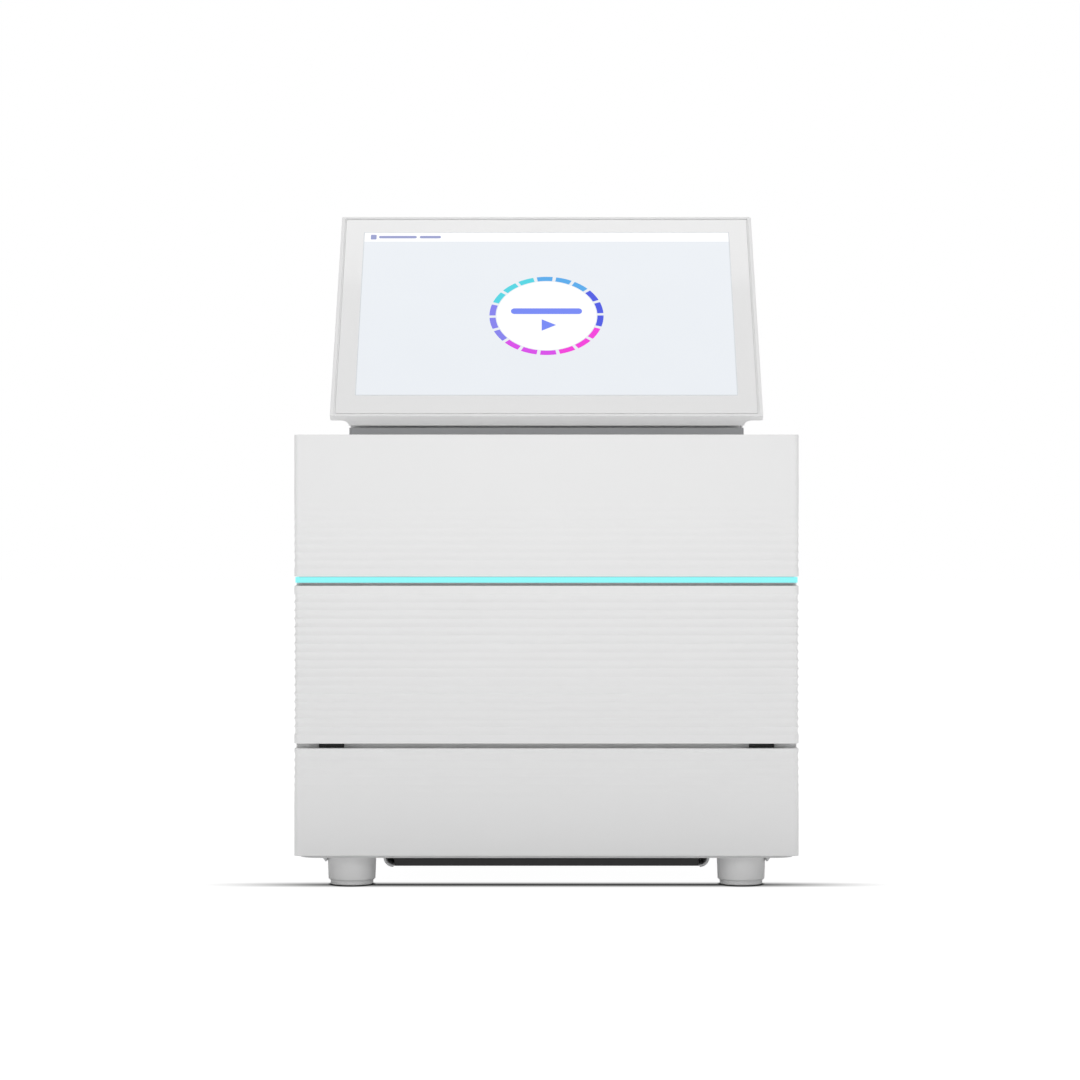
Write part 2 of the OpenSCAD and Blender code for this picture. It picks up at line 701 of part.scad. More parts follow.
module reader_head() color(near_black) difference() {
    union() {
        translate([0, tray_y0 + 50, shelf_z - 12]) plate(84, 84, 12, 5);
        translate([0, tray_y0 + 40, shelf_z - 14]) plate(40, 30, 2 + eps, 2);
    }
    for (x = [-30 : 12 : 30]) translate([x, tray_y0 + 76, shelf_z - 13]) cylinder(h = 4, r = 3);
}

module pump_drive() color(mid_grey) translate([0, pump_y, shelf_z + shelf_t]) {
    plate(120, 70, 4, 4);
    for (x = [-42 : 28 : 42]) translate([x, 0, 4 - eps]) {
        cylinder(h = 34, r = 11);
        cylinder(h = 42, r = 4);
    }
    span([-58, 28, 0], [58, 33, 30]);
}

// ---------- electronics and air ----------

module main_board() color(board_green) {
    span([board_x0, board_y0, board_z], [board_x1, board_y1, board_top]);
    for (x = [board_x0 + 6, board_x1 - 6], y = [board_y0 + 6, board_y1 - 6])
        translate([x, y, pan_top]) cylinder(h = board_z - pan_top + eps, r = 3);
    for (i = [0 : 3], y = [36, 18])
        translate([board_x0 + 18 + i * 22, board_y1 - y, board_top - eps]) cube([15, 12, 3]);
    for (y = [board_y0 + 10 : 12 : board_y0 + 60])
        translate([board_x1 - 38, y, board_top - eps]) cube([30, 5, 9]);
}

module processor_cooler() color(steel) translate([board_x0 + 48, board_y0 + 20, board_top]) {
    cube([cooler_w, cooler_w, 4]);
    for (x = [1 : 6 : cooler_w - 2]) translate([x, 0, 4 - eps]) cube([2, cooler_w, cooler_h - 4]);
}

module storage_drive() color(dark_grey) translate([board_x0 + 4, board_y0 + 20, board_top]) difference() {
    cube([drive_w, drive_l, 7]);
    translate([4, 6, 6.4]) cube([drive_w - 8, drive_l - 12, 1]);
}

module power_supply() color(steel) difference() {
    span([psu_x0, psu_y0, pan_top], [psu_x1, psu_y1, pan_top + psu_h]);
    for (y = [psu_y0 + 20 : 10 : psu_y1 - 20])
        translate([(psu_x0 + psu_x1) / 2, y, pan_top + psu_h - 1])
            linear_extrude(2) round_rect(psu_w - 22, 4, 2);
    for (x = [psu_x0 + 10 : 10 : psu_x1 - 8]) translate([x, psu_y0, pan_top + psu_h - 20])
        rotate([90, 0, 0]) linear_extrude(3, center = true) round_rect(5, 26, 2.5);
}

module fan_frames() color(near_black) for (sx = [-1, 1]) translate([sx * fan_x, fan_y, pan_top]) {
    difference() {
        plate(fan_size, fan_size, fan_t, 4);
        translate([0, 0, -1]) cylinder(h = fan_t + 2, d = fan_size - 4);
        for (cx = [-1, 1], cy = [-1, 1]) translate([cx, cy, 0] * (fan_size / 2 - 4.2)) translate([0, 0, -1])
            cylinder(h = fan_t + 2, r = 1.6);
    }
    cylinder(h = 3, r = 14);
    for (a = [45 : 90 : 315]) rotate(a) translate([13, -2, 0]) cube([fan_size / 2 - 14, 4, 2.5]);
}

module fan_rotor() {
    translate([0, 0, 3.3]) cylinder(h = 19.7, r = 16);
    for (i = [0 : 6]) rotate(i * 360 / 7) translate([15, 0, 13.5]) rotate([38, 0, 0])
        translate([0, -0.9, -9]) cube([fan_size / 2 - 19, 1.8, 18]);
}

module left_fan_rotor() color(dark_grey) translate([-fan_x, fan_y, pan_top]) fan_rotor();

module right_fan_rotor() color(dark_grey) translate([fan_x, fan_y, pan_top]) fan_rotor();

module filter_rails() color(light_grey) both_sides()
    translate([filter_w / 2 + 0.4, filter_y0 + filter_l, pan_z - 1])
    rotate([90, 0, 0]) linear_extrude(filter_l + 3) {
        intersection() {
            difference() {
                circle(6);
                circle(4.6);
            }
            translate([0, -7]) square([7, 7]);
        }
        translate([4.6, 0]) square([1.4, 1]);
    }

module filter_tray() color(near_black) difference() {
    span([-filter_w / 2, filter_y0, filter_z], [filter_w / 2, filter_y0 + filter_l, filter_z + filter_h]);
    span([-filter_w / 2 + 3, filter_y0 + 3, filter_z + 1.4],
        [filter_w / 2 - 3, filter_y0 + filter_l - 3, filter_z + filter_h + 1]);
    for (x = [-75 : 25 : 75], y = [0 : 3]) translate([x, filter_y0 + 19 + y * 27, filter_z - 1])
        plate(20, 22, 4, 3);
}

module filter_foam() color(dark_grey)
    span([-filter_w / 2 + 3.2, filter_y0 + 3.2, filter_z + 1.4],
        [filter_w / 2 - 3.2, filter_y0 + filter_l - 3.2, filter_z + filter_h - 0.3]);

// ---------- ports, switches ----------

module inlet_module() color(near_black) {
    difference() {
        union() {
            span([inlet_x - 14, inner_back - 22, inlet_z - 27], [inlet_x + 14, rear_y + eps, inlet_z + 27]);
            translate([inlet_x, back_y, inlet_z]) rotate([90, 0, 0]) plate(34, 60, rear_lip, 3);
        }
        translate([inlet_x, back_y + 2, inlet_z - 9]) rotate([90, 0, 0]) linear_extrude(20) difference() {
            round_rect(24.5, 16.6, 1.5);
            for (sx = [-1, 1]) translate([sx * 12.25, 8.3]) rotate(45) square(6, center = true);
        }
        span([inlet_x - 11, back_y - 14, inlet_z + 5], [inlet_x + 11, back_y + 3, inlet_z + 23]);
        rod_x(inlet_x - 12.5, inlet_x + 12.5, back_y - rocker_depth, inlet_z + 14, pin_r + shaft_clear);
    }
    for (x = [-7, 0, 7])
        span([inlet_x + x - 1, back_y - 19, inlet_z - 11], [inlet_x + x + 1, back_y - 6, inlet_z - 7]);
}

module rocker_switch() color(near_black) {
    rod_x(inlet_x - 12.4, inlet_x + 12.4, back_y - rocker_depth, inlet_z + 14, pin_r);
    translate([inlet_x - 10.6, back_y - rocker_depth, inlet_z + 14]) rotate([90, 0, 90]) linear_extrude(21.2)
        polygon([[-3, -4], [2, -6.6], [6.8, -6.8], [5, 0], [5.4, 6.6], [2, 6.8], [-3, 4]]);
}

module port_block() color(steel) difference() {
    span([port_x - 20, inner_back - 16, port_z - 8], [port_x + 20, rear_y + 0.4, port_z + 8]);
    span([port_x - 18, rear_y - 12, port_z - 6.6], [port_x - 2, rear_y + 1, port_z + 6.6]);
    for (z = [-6, 0.8])
        span([port_x + 3, rear_y - 12, port_z + z], [port_x + 17, rear_y + 1, port_z + z + 5.2]);
}

module side_port_board() color(board_green) difference() {
    union() {
        span([-side_plate_x, button_y - 14, button_z - 16],
            [-side_plate_x + 1.6, button_y + 58, button_z + 16]);
        for (y = usb_y)
            span([-half_w + 0.4, y - 6.7, button_z - 3], [-side_plate_x + 9, y + 6.7, button_z + 3]);
    }
    for (y = usb_y) span([-half_w - 1, y - 6, button_z - 2.3], [-side_plate_x + 6, y + 6, button_z + 2.3]);
}

module power_button() color(light_grey)
    rod_x(-half_w + 0.2, -side_plate_x - button_travel - 0.3, button_y, button_z, button_r);

// ---------- monitor ----------

// Places children from the monitor's own axes: y up the slope, z out of the screen
module on_monitor() {
    translate([0, mon_y, mon_z]) rotate([90 - mon_tilt, 0, 0]) children();
}

// Low plinth across the top: a front lip, a hollow in which the monitor's lower edge turns, and a thin apron
module monitor_plinth() color(mid_grey) difference() {
    translate([0, (plinth_y0 + plinth_y1) / 2, case_top]) plate(neck_w, plinth_y1 - plinth_y0, plinth_h, 2);
    rod_x(-neck_w, neck_w, pivot_y, pivot_z, cradle_r);
    span([-neck_w, pivot_y, case_top + 0.9], [neck_w, plinth_y1 + 1, case_top + 20]);
    for (sx = [-1, 1]) translate([sx * knuckle_x, pivot_y, case_top])
        cube([knuckle_w + 0.6, 11, 40], center = true);
    translate([0, pivot_y, case_top - 1]) cylinder(h = plinth_h, r = cable_r);
}

module monitor_hinges() color(mid_grey) both_sides() {
    x0 = knuckle_x - knuckle_w / 2;
    rod_x(x0, x0 + knuckle_w, pivot_y, pivot_z, knuckle_d / 2);
    span([x0, pivot_y - stem_t / 2, case_top], [x0 + knuckle_w, pivot_y + stem_t / 2, pivot_z]);
    span([x0, pivot_y - 5, case_top], [x0 + knuckle_w, pivot_y + 5, case_top + 1.8]);
    rod_x(knuckle_x - 26, knuckle_x + 26, pivot_y, pivot_z, mon_pin_r);
}

module monitor_frame() color(white) on_monitor() translate([0, mon_l / 2, 0]) difference() {
    translate([0, 0, -rim_t]) plate(mon_w, mon_l, rim_t, mon_corner);
    translate([0, 0, -groove_d]) plate(mon_w - 2 * rim_side, mon_l - 2 * rim_end, 2, mon_corner);
    translate([0, 0, -glass_t - glass_fit])
        plate(glass_w + 2 * glass_fit, glass_l + 2 * glass_fit, 3, mon_corner);
    translate([0, display_rise, -rim_t - 1]) plate(display_w + 8, display_h + 8, rim_t + 2, 2);
}

module touch_glass() color(light_grey) on_monitor() translate([0, mon_l / 2, -glass_t - glass_fit])
    plate(glass_w, glass_l, glass_t, mon_corner - glass_fit);

module lcd_panel() color(dark_grey) on_monitor() translate([0, mon_l / 2 + display_rise, -rim_t + 0.4])
    plate(display_w + 7.4, display_h + 7.4, rim_t - glass_t - 0.5, 2);

// Concave piece by which a side wall of the monitor's back eases into the rim: x outward, y the height
module cove_section() difference() {
    translate([-back_t, -rim_t - cove_r]) square([back_t + cove_r, cove_r]);
    translate([cove_r, -rim_t - cove_r]) circle(cove_r);
}

// Side wall below the cove, rounded at its far edge
module wall_below_cove() difference() {
    translate([-back_t, -mon_t]) square([back_t, mon_t - rim_t - cove_r]);
    translate([-back_r, -mon_t + back_r]) difference() {
        translate([0, -back_r - 1]) square([back_r + 1, back_r + 1]);
        circle(back_r);
    }
}

// Places a section at a corner or an end of the monitor's deep middle, x outward from its wall
module at_wall(x, y, turn) translate([x, y, 0]) rotate(turn) children();

// Sweeps a section round the two upper corners, up both sides from y0 and across the top at y1
module over_top(y0, y1, r) {
    x1 = neck_w / 2 - r;
    for (sx = [0, 1]) mirror([sx, 0, 0]) {
        at_wall(neck_w / 2, y1 - r, 0) rotate([90, 0, 0]) linear_extrude(y1 - r - y0) children();
        at_wall(x1, y1 - r, 0) rotate_extrude(angle = 90) translate([r, 0]) children();
    }
    at_wall(-x1, y1, 90) rotate([90, 0, 0]) linear_extrude(2 * x1) children();
}

// Room for a knuckle and its stem from the raised monitor to the folded one:
// x up the slope, y out of the screen
module stem_slot() {
    half = stem_t / 2 + 0.4;
    down = 90 - mon_tilt;
    circle(knuckle_d / 2 + 0.4);
    for (a = [0, down]) rotate(-a) translate([-half, -12]) square([2 * half, 12]);
    polygon([[0, 0], 12 * [-sin(down), -cos(down)], [-8, -12], [0, -12]]);
}

module monitor_back() color(white) on_monitor() {
    top = mon_l - cove_r;
    chin = neck_u0 + back_corner;
    difference() {
        union() {
            over_top(chin, top, back_corner) cove_section();
            over_top(chin, top, back_corner) wall_below_cove();
            translate([0, neck_u0 + chin, 0]) mirror([0, 1, 0])
                over_top(neck_u0 - eps, chin, back_corner) wall_below_cove();
            rotate([90, 0, 0]) translate([0, 0, -chin]) linear_extrude(chin) {
                translate([0, -rim_t - cove_r / 2]) square([neck_w, cove_r], center = true);
                both_sides() translate([neck_w / 2, 0]) cove_section();
            }
            translate([0, (neck_u0 + top) / 2, -mon_t])
                plate(neck_w - 2 * back_r, top - neck_u0 - 2 * back_r, back_t, back_corner - back_r);
            span([-neck_w / 2 + 1, neck_u0 + 1, -mon_t + 1],
                [neck_w / 2 - 1, pivot_u + knuckle_d, -rim_t - 2]);
        }
        for (sx = [-1, 1]) translate([sx * knuckle_x - knuckle_w / 2 - 0.4, pivot_u, -pivot_w])
            rotate([90, 0, 90]) linear_extrude(knuckle_w + 0.8) stem_slot();
        for (sx = [-1, 1])
            rod_x(sx * knuckle_x - 26.5, sx * knuckle_x + 26.5, pivot_u, -pivot_w, mon_pin_r + shaft_clear);
        for (x = [-60 : 12 : 60]) translate([x, mon_l - 34, -mon_t - 1]) plate(4, 30, 4, 2);
    }
}

// ---------- nodes ----------

base_pan();
feet();
foot_pads();
foot_brackets();
screws();
left_chassis_plate();
right_chassis_plate();
front_frame();
deck();
upper_shelf();
left_cover();
right_cover();
top_cover();
rear_panel();
visor();
lower_front_panel();
light_bar();
led_strip();
door_skin();
door_inner_panel();
door_hinge_arms();
door_hinge_pins();
door_hinge_brackets();
door_sector_gear();
door_pinion();
door_gearmotor();
tray_bridge();
tray_rails();
tray_carriages();
cartridge_tray();
tray_nut();
lead_screw();
screw_bearings();
shaft_coupling();
tray_motor();
thermal_plate();
heat_sink();
reader_head();
pump_drive();
main_board();
processor_cooler();
storage_drive();
power_supply();
fan_frames();
left_fan_rotor();
right_fan_rotor();
filter_rails();
filter_tray();
filter_foam();
inlet_module();
rocker_switch();
port_block();
side_port_board();
power_button();
monitor_plinth();
monitor_hinges();
monitor_frame();
touch_glass();
lcd_panel();
monitor_back();
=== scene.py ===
import math

import bpy
from mathutils import Matrix, Vector


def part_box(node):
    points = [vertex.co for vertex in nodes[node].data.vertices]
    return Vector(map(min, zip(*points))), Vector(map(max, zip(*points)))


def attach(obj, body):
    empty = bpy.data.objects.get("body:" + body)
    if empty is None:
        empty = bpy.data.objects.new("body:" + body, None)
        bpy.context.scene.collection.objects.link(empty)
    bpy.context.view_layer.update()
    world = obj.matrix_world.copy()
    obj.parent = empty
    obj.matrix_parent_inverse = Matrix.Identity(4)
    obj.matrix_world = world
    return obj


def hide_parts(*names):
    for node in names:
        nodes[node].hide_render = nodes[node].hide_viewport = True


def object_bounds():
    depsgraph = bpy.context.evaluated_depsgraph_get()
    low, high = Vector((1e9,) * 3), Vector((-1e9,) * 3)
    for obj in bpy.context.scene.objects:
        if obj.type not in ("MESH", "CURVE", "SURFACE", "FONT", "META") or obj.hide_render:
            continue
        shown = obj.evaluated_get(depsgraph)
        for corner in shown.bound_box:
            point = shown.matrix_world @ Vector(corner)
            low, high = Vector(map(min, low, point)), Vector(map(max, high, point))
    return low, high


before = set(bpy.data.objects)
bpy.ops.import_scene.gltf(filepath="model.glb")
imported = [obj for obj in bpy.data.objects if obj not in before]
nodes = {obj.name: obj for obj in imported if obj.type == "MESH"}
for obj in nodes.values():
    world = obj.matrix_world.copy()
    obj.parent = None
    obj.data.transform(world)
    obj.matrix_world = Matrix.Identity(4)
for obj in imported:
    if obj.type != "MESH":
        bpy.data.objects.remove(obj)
cad_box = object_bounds()
scene = bpy.context.scene

MM = 0.001

# ---------- camera ----------

IMAGE_PX = 1080
SENSOR_MM = 36.0
# In pixels: focal length and the column of the lens's axis
FOCAL_PX = 3345.0
AXIS_COLUMN_PX = 546.5
# In metres: distance to the case's front face, height of the lens, and how far it sees
CAMERA_DISTANCE = 2.020
CAMERA_HEIGHT = 0.2097
CLIP_END = 50.0

FRONT_Y = cad_box[0][1]
HALF_W = cad_box[1][0]


def make_camera():
    """Level camera in front of the instrument, its frame shifted a little to keep the middle true."""
    data = bpy.data.cameras.new("front_camera")
    data.sensor_width = SENSOR_MM
    data.lens = FOCAL_PX / IMAGE_PX * SENSOR_MM
    data.shift_x = (IMAGE_PX / 2 - AXIS_COLUMN_PX) / IMAGE_PX
    data.clip_end = CLIP_END
    camera = bpy.data.objects.new("front_camera", data)
    camera.location = (0.0, FRONT_Y - CAMERA_DISTANCE, CAMERA_HEIGHT)
    camera.rotation_euler = (math.radians(90), 0.0, 0.0)
    scene.collection.objects.link(camera)
    scene.camera = camera


make_camera()

# ---------- studio ----------

WHITE = (1, 1, 1, 1)
# Levels of the soft light from all round and from straight above, the heights of a ray's direction between
# which it rises, and the powers of the two lamps
SKY_LEVEL = 0.243
ZENITH_LEVEL = 1.05
ZENITH_RISE = (0.45, 0.95)
FRONT_POWER = 0.54
TOP_POWER = 2.2

# In metres: side of the floor, and its level just under the pads, so that no two faces share a plane
FLOOR_SIZE = 30
FLOOR_LEVEL = -0.0002
FLOOR_COLOUR = "#E8E8E8"
# Light that the floor throws back on the object, and where outside the case it comes up, in metres
FLOOR_GLOW = 0.388
GLOW_RISE = (-0.02, 0.12)
# What an eye sees of the floor: nearly white by its own light, over a thin grey that takes the shadow
SEEN_LIGHT = 0.99
SEEN_GREY = "#5A5A5A"
# Depth at which the painted contact shadow, a dark line on the floor, lies behind the front face, in
# metres
PAINTED_SHADOW_DEPTH = 0.0168
# In mm: the painted contact shadow: where its line starts and ends to fade, along and across, and its ring
# round a foot
SHADOW_LINE_HALF_LENGTH = (108, 227)
SHADOW_LINE_HALF_DEPTH = (0, 20)
PAINTED_FOOT_SHADE = (13, 19)
PAD_R = 10.0


def linear(hex_colour):
    """sRGB hex to linear red, green, blue and alpha."""
    values = [int(hex_colour[i:i + 2], 16) / 255 for i in (1, 3, 5)]
    return tuple(v / 12.92 if v <= 0.04045 else ((v + 0.055) / 1.055) ** 2.4 for v in values) + (1.0,)


def add_node(tree, kind, settings=None, inputs=None):
    """Adds a shader node, sets its properties, and sets or links its inputs."""
    made = tree.nodes.new(kind)
    for key, value in (settings or {}).items():
        setattr(made, key, value)
    for key, value in (inputs or {}).items():
        if isinstance(value, bpy.types.NodeSocket):
            tree.links.new(value, made.inputs[key])
        else:
            made.inputs[key].default_value = value
    return made


def background_rays(tree):
    """1 for the rays that look straight at, by mirror or through glass at the backdrop."""
    path = add_node(tree, "ShaderNodeLightPath")
    first = add_node(tree, "ShaderNodeMath", {"operation": "MAXIMUM"},
                     {0: path.outputs["Is Camera Ray"], 1: path.outputs["Is Glossy Ray"]})
    return add_node(tree, "ShaderNodeMath", {"operation": "MAXIMUM"},
                    {0: first.outputs[0], 1: path.outputs["Is Transmission Ray"]}).outputs[0]


def make_world():
    """Even soft light from all round, a little stronger straight above; the backdrop itself is white."""
    world = bpy.data.worlds.new("studio")
    scene.world = world
    world.use_nodes = True
    tree = world.node_tree
    tree.nodes.clear()
    coords = add_node(tree, "ShaderNodeTexCoord")
    split = add_node(tree, "ShaderNodeSeparateXYZ", None, {0: coords.outputs["Generated"]})
    level = add_node(tree, "ShaderNodeMapRange", {"interpolation_type": "SMOOTHSTEP"},
                     {"Value": split.outputs["Z"], "From Min": ZENITH_RISE[0], "From Max": ZENITH_RISE[1],
                      "To Min": SKY_LEVEL, "To Max": ZENITH_LEVEL})
    soft = add_node(tree, "ShaderNodeBackground", None, {"Color": WHITE, "Strength": level.outputs[0]})
    plain = add_node(tree, "ShaderNodeBackground", None, {"Color": WHITE, "Strength": 1.0})
    mix = add_node(tree, "ShaderNodeMixShader", None,
                   {0: background_rays(tree), 1: soft.outputs[0], 2: plain.outputs[0]})
    add_node(tree, "ShaderNodeOutputWorld", None, {"Surface": mix.outputs[0]})


def foot_middle():
    """Centre of one foot on the floor, which the other three mirror."""
    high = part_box("foot_pads")[1]
    return (high.x - PAD_R * MM, high.y - PAD_R * MM, 0.0)


def make_floor():
    """Pale floor that reads white, takes a faint shadow, and has painted contact shadows under the front
    and by the feet.
    """
    bpy.ops.mesh.primitive_plane_add(size=FLOOR_SIZE, location=(0, 0, FLOOR_LEVEL))
    floor = bpy.context.object
    floor.name = "floor"
    paint = bpy.data.materials.new("pale_floor_with_painted_shadow")
    paint.use_nodes = True
    tree = paint.node_tree
    tree.nodes.clear()
    coords = add_node(tree, "ShaderNodeTexCoord")
    place = add_node(tree, "ShaderNodeSeparateXYZ", None, {0: coords.outputs["Object"]})

    # Distances from the middle of the case, from the painted contact shadow line and from the nearest foot
    across = add_node(tree, "ShaderNodeMath", {"operation": "ABSOLUTE"},
                      {0: place.outputs["X"]}).outputs[0]
    depth = add_node(tree, "ShaderNodeMath", {"operation": "ABSOLUTE"},
                     {0: place.outputs["Y"]}).outputs[0]
    behind = add_node(tree, "ShaderNodeMath", {"operation": "SUBTRACT"},
                      {0: place.outputs["Y"], 1: FRONT_Y + PAINTED_SHADOW_DEPTH}).outputs[0]
    away = add_node(tree, "ShaderNodeMath", {"operation": "ABSOLUTE"}, {0: behind}).outputs[0]
    quarter = add_node(tree, "ShaderNodeCombineXYZ", None, {"X": across, "Y": depth}).outputs[0]
    from_foot = add_node(tree, "ShaderNodeVectorMath", {"operation": "DISTANCE"},
                         {0: quarter, 1: foot_middle()}).outputs["Value"]

    # Each painted shadow is 1 up to its inner distance and falls smoothly to 0 at the outer one
    painted_shades = []
    reaches = ((across, SHADOW_LINE_HALF_LENGTH), (away, SHADOW_LINE_HALF_DEPTH), (from_foot, PAINTED_FOOT_SHADE))
    for distance, (inner, outer) in reaches:
        painted_shade = add_node(tree, "ShaderNodeMapRange", {"interpolation_type": "SMOOTHSTEP"},
                         {"Value": distance, "From Min": inner * MM, "From Max": outer * MM,
                          "To Min": 1.0, "To Max": 0.0})
        painted_shades.append(painted_shade.outputs[0])
    painted_line_shadow = add_node(tree, "ShaderNodeMath", {"operation": "MULTIPLY"}, {0: painted_shades[0], 1: painted_shades[1]})
    contact = add_node(tree, "ShaderNodeMath", {"operation": "MAXIMUM"},
                       {0: painted_line_shadow.outputs[0], 1: painted_shades[2]})
    # Painted contact shadow: it darkens the colour that an eye sees of the floor, along the front and
    # round the feet
    seen_with_painted_shadow = add_node(tree, "ShaderNodeMapRange", None,
                    {"Value": contact.outputs[0], "To Min": 1.0, "To Max": 0.0}).outputs[0]

    # The light thrown back comes up only outside the case's outline
    side = add_node(tree, "ShaderNodeMath", {"operation": "SUBTRACT"}, {0: across, 1: HALF_W}).outputs[0]
    end = add_node(tree, "ShaderNodeMath", {"operation": "ADD"}, {0: depth, 1: FRONT_Y}).outputs[0]
    outside = add_node(tree, "ShaderNodeMath", {"operation": "MAXIMUM"}, {0: side, 1: end}).outputs[0]
    bounce_level = add_node(tree, "ShaderNodeMapRange", {"interpolation_type": "SMOOTHSTEP"},
                            {"Value": outside, "From Min": GLOW_RISE[0], "From Max": GLOW_RISE[1],
                             "To Min": 0.0, "To Max": FLOOR_GLOW}).outputs[0]

    matt = add_node(tree, "ShaderNodeBsdfDiffuse", None, {"Color": linear(FLOOR_COLOUR)})
    bounce = add_node(tree, "ShaderNodeEmission", None, {"Color": WHITE, "Strength": bounce_level})
    lit_floor = add_node(tree, "ShaderNodeAddShader", None, {0: matt.outputs[0], 1: bounce.outputs[0]})
    thin = add_node(tree, "ShaderNodeBsdfDiffuse", None, {"Color": linear(SEEN_GREY)})
    white = add_node(tree, "ShaderNodeEmission", None, {"Color": seen_with_painted_shadow, "Strength": SEEN_LIGHT})
    seen_floor = add_node(tree, "ShaderNodeAddShader", None, {0: thin.outputs[0], 1: white.outputs[0]})
    mix = add_node(tree, "ShaderNodeMixShader", None,
                   {0: background_rays(tree), 1: lit_floor.outputs[0], 2: seen_floor.outputs[0]})
    add_node(tree, "ShaderNodeOutputMaterial", None, {"Surface": mix.outputs[0]})
    floor.data.materials.append(paint)


def make_lamp(name, place, aim, width, height, power):
    """Soft box at a place, turned to a point and unseen itself; places and sizes in metres."""
    data = bpy.data.lights.new(name, "AREA")
    data.shape = "RECTANGLE"
    data.size = width
    data.size_y = height
    data.energy = power
    lamp = bpy.data.objects.new(name, data)
    lamp.location = place
    lamp.rotation_euler = (Vector(aim) - Vector(place)).to_track_quat("-Z", "Y").to_euler()
    lamp.visible_camera = False
    scene.collection.objects.link(lamp)


make_world()
make_floor()
make_lamp("front_softbox", place=(0.0, -0.55, 0.33), aim=(0, -0.165, 0.30), width=0.7, height=0.2,
          power=FRONT_POWER)
make_lamp("overhead_softbox", place=(0.0, 0.25, 1.1), aim=(0, 0.05, 0.35), width=0.9, height=0.5,
          power=TOP_POWER)

scene.view_settings.view_transform = "Standard"

# ---------- materials ----------

# Colour sockets of a Mix node, whose names its number sockets share
MIX_A = 6
MIX_B = 7
MIX_RESULT = 2
# Detail of the slow drift of tone and of the fine grain, and how closely an eased edge is sampled
DRIFT_DETAIL = 1.0
GRAIN_DETAIL = 2.0
EDGE_SAMPLES = 6
# Unlit body of a shining piece: its colour, gloss and reflection
UNLIT_BODY = "#101010"
UNLIT_ROUGHNESS = 0.35
UNLIT_SPECULAR = 0.2
# A face whose normal points further down than this counts as an under-face
UNDER_FACE = -0.5


def finish(name, colour, metallic=0.0, roughness=0.5, ior=1.5, tone=0.02, tone_mm=40.0, grain_mm=0.6,
           grain_height_mm=0.01, streaks=(1, 1, 1), edge_mm=0.0, coat=0.0, rough_spread=0.05):
    """Principled surface with a slow drift of tone, a fine grain in relief and gloss, and eased edges."""
    made = bpy.data.materials.new(name)
    made.use_nodes = True
    tree = made.node_tree
    tree.nodes.clear()
    where = add_node(tree, "ShaderNodeTexCoord").outputs["Object"]
    drift = add_node(tree, "ShaderNodeTexNoise", None,
                     {"Vector": where, "Scale": 1 / (tone_mm * MM), "Detail": DRIFT_DETAIL})
    base = linear(colour)
    dark = tuple(c * (1 - tone) for c in base[:3]) + (1.0,)
    light = tuple(min(1.0, c * (1 + tone)) for c in base[:3]) + (1.0,)
    mixed = add_node(tree, "ShaderNodeMix", {"data_type": "RGBA"},
                     {"Factor": drift.outputs["Fac"], MIX_A: dark, MIX_B: light})
    stretched = add_node(tree, "ShaderNodeMapping", None, {"Vector": where, "Scale": streaks}).outputs[0]
    fine = add_node(tree, "ShaderNodeTexNoise", None,
                    {"Vector": stretched, "Scale": 1 / (grain_mm * MM), "Detail": GRAIN_DETAIL})
    gloss = add_node(tree, "ShaderNodeMapRange", None,
                     {"Value": fine.outputs["Fac"], "To Min": roughness - rough_spread,
                      "To Max": roughness + rough_spread})
    relief = add_node(tree, "ShaderNodeBump", None,
                      {"Height": fine.outputs["Fac"], "Distance": grain_height_mm * MM, "Strength": 1.0})
    if edge_mm:
        eased = add_node(tree, "ShaderNodeBevel", {"samples": EDGE_SAMPLES}, {"Radius": edge_mm * MM})
        tree.links.new(eased.outputs[0], relief.inputs["Normal"])
    skin = add_node(tree, "ShaderNodeBsdfPrincipled", None,
                    {"Base Color": mixed.outputs[MIX_RESULT], "Metallic": metallic, "IOR": ior,
                     "Roughness": gloss.outputs[0], "Normal": relief.outputs[0], "Coat Weight": coat})
    add_node(tree, "ShaderNodeOutputMaterial", None, {"Surface": skin.outputs[0]})
    return made


# Injection-moulded PC/ABS with a fine spark-eroded texture: a soft, even white without hard glints
shell_white = finish("moulded_white_shell", "#EFEFEF", roughness=0.5, tone=0.006,
                     grain_mm=0.5, grain_height_mm=0.006, edge_mm=0.35)
# The same resin in a cooler grey inside the compartment, a little shinier where hands don't reach
liner_grey = finish("moulded_liner_grey", "#D9DADB", roughness=0.42, tone=0.01, grain_mm=0.8, edge_mm=0.3)
# Soft-touch elastomer over the feet: pale grey and matt, it swallows highlights
foot_grey = finish("soft_touch_grey", "#ECECEC", roughness=0.62, tone=0.02,
                   grain_mm=0.7, grain_height_mm=0.015, edge_mm=0.4)
# Painted metal of the hinge plinth and hinges: a plain mid grey, partly their own colour and partly
# painted shade, so that the monitor seems to float on a shadow line
plinth_grey_and_shade = finish("plinth_grey_and_painted_shade", "#A9AAAC", roughness=0.55, tone=0.015,
                     grain_mm=0.7, grain_height_mm=0.01, edge_mm=0.3)
# Glass-filled nylon: near-black with a dull, slightly mottled sheen
nylon_black = finish("glass_filled_nylon", "#151516", roughness=0.48, tone=0.12, tone_mm=6,
                     grain_mm=0.9, grain_height_mm=0.02, edge_mm=0.25)
# Dark grey moulded plastic of the storage drive: even and half matt
plastic_dark = finish("moulded_dark_grey", "#4A4B4D", roughness=0.45, tone=0.04, edge_mm=0.25)
# Rubber of the pads: black and dead matt
pad_rubber = finish("pad_rubber", "#1A1A1A", roughness=0.85, tone=0.1, tone_mm=5,
                    grain_mm=0.4, grain_height_mm=0.03)
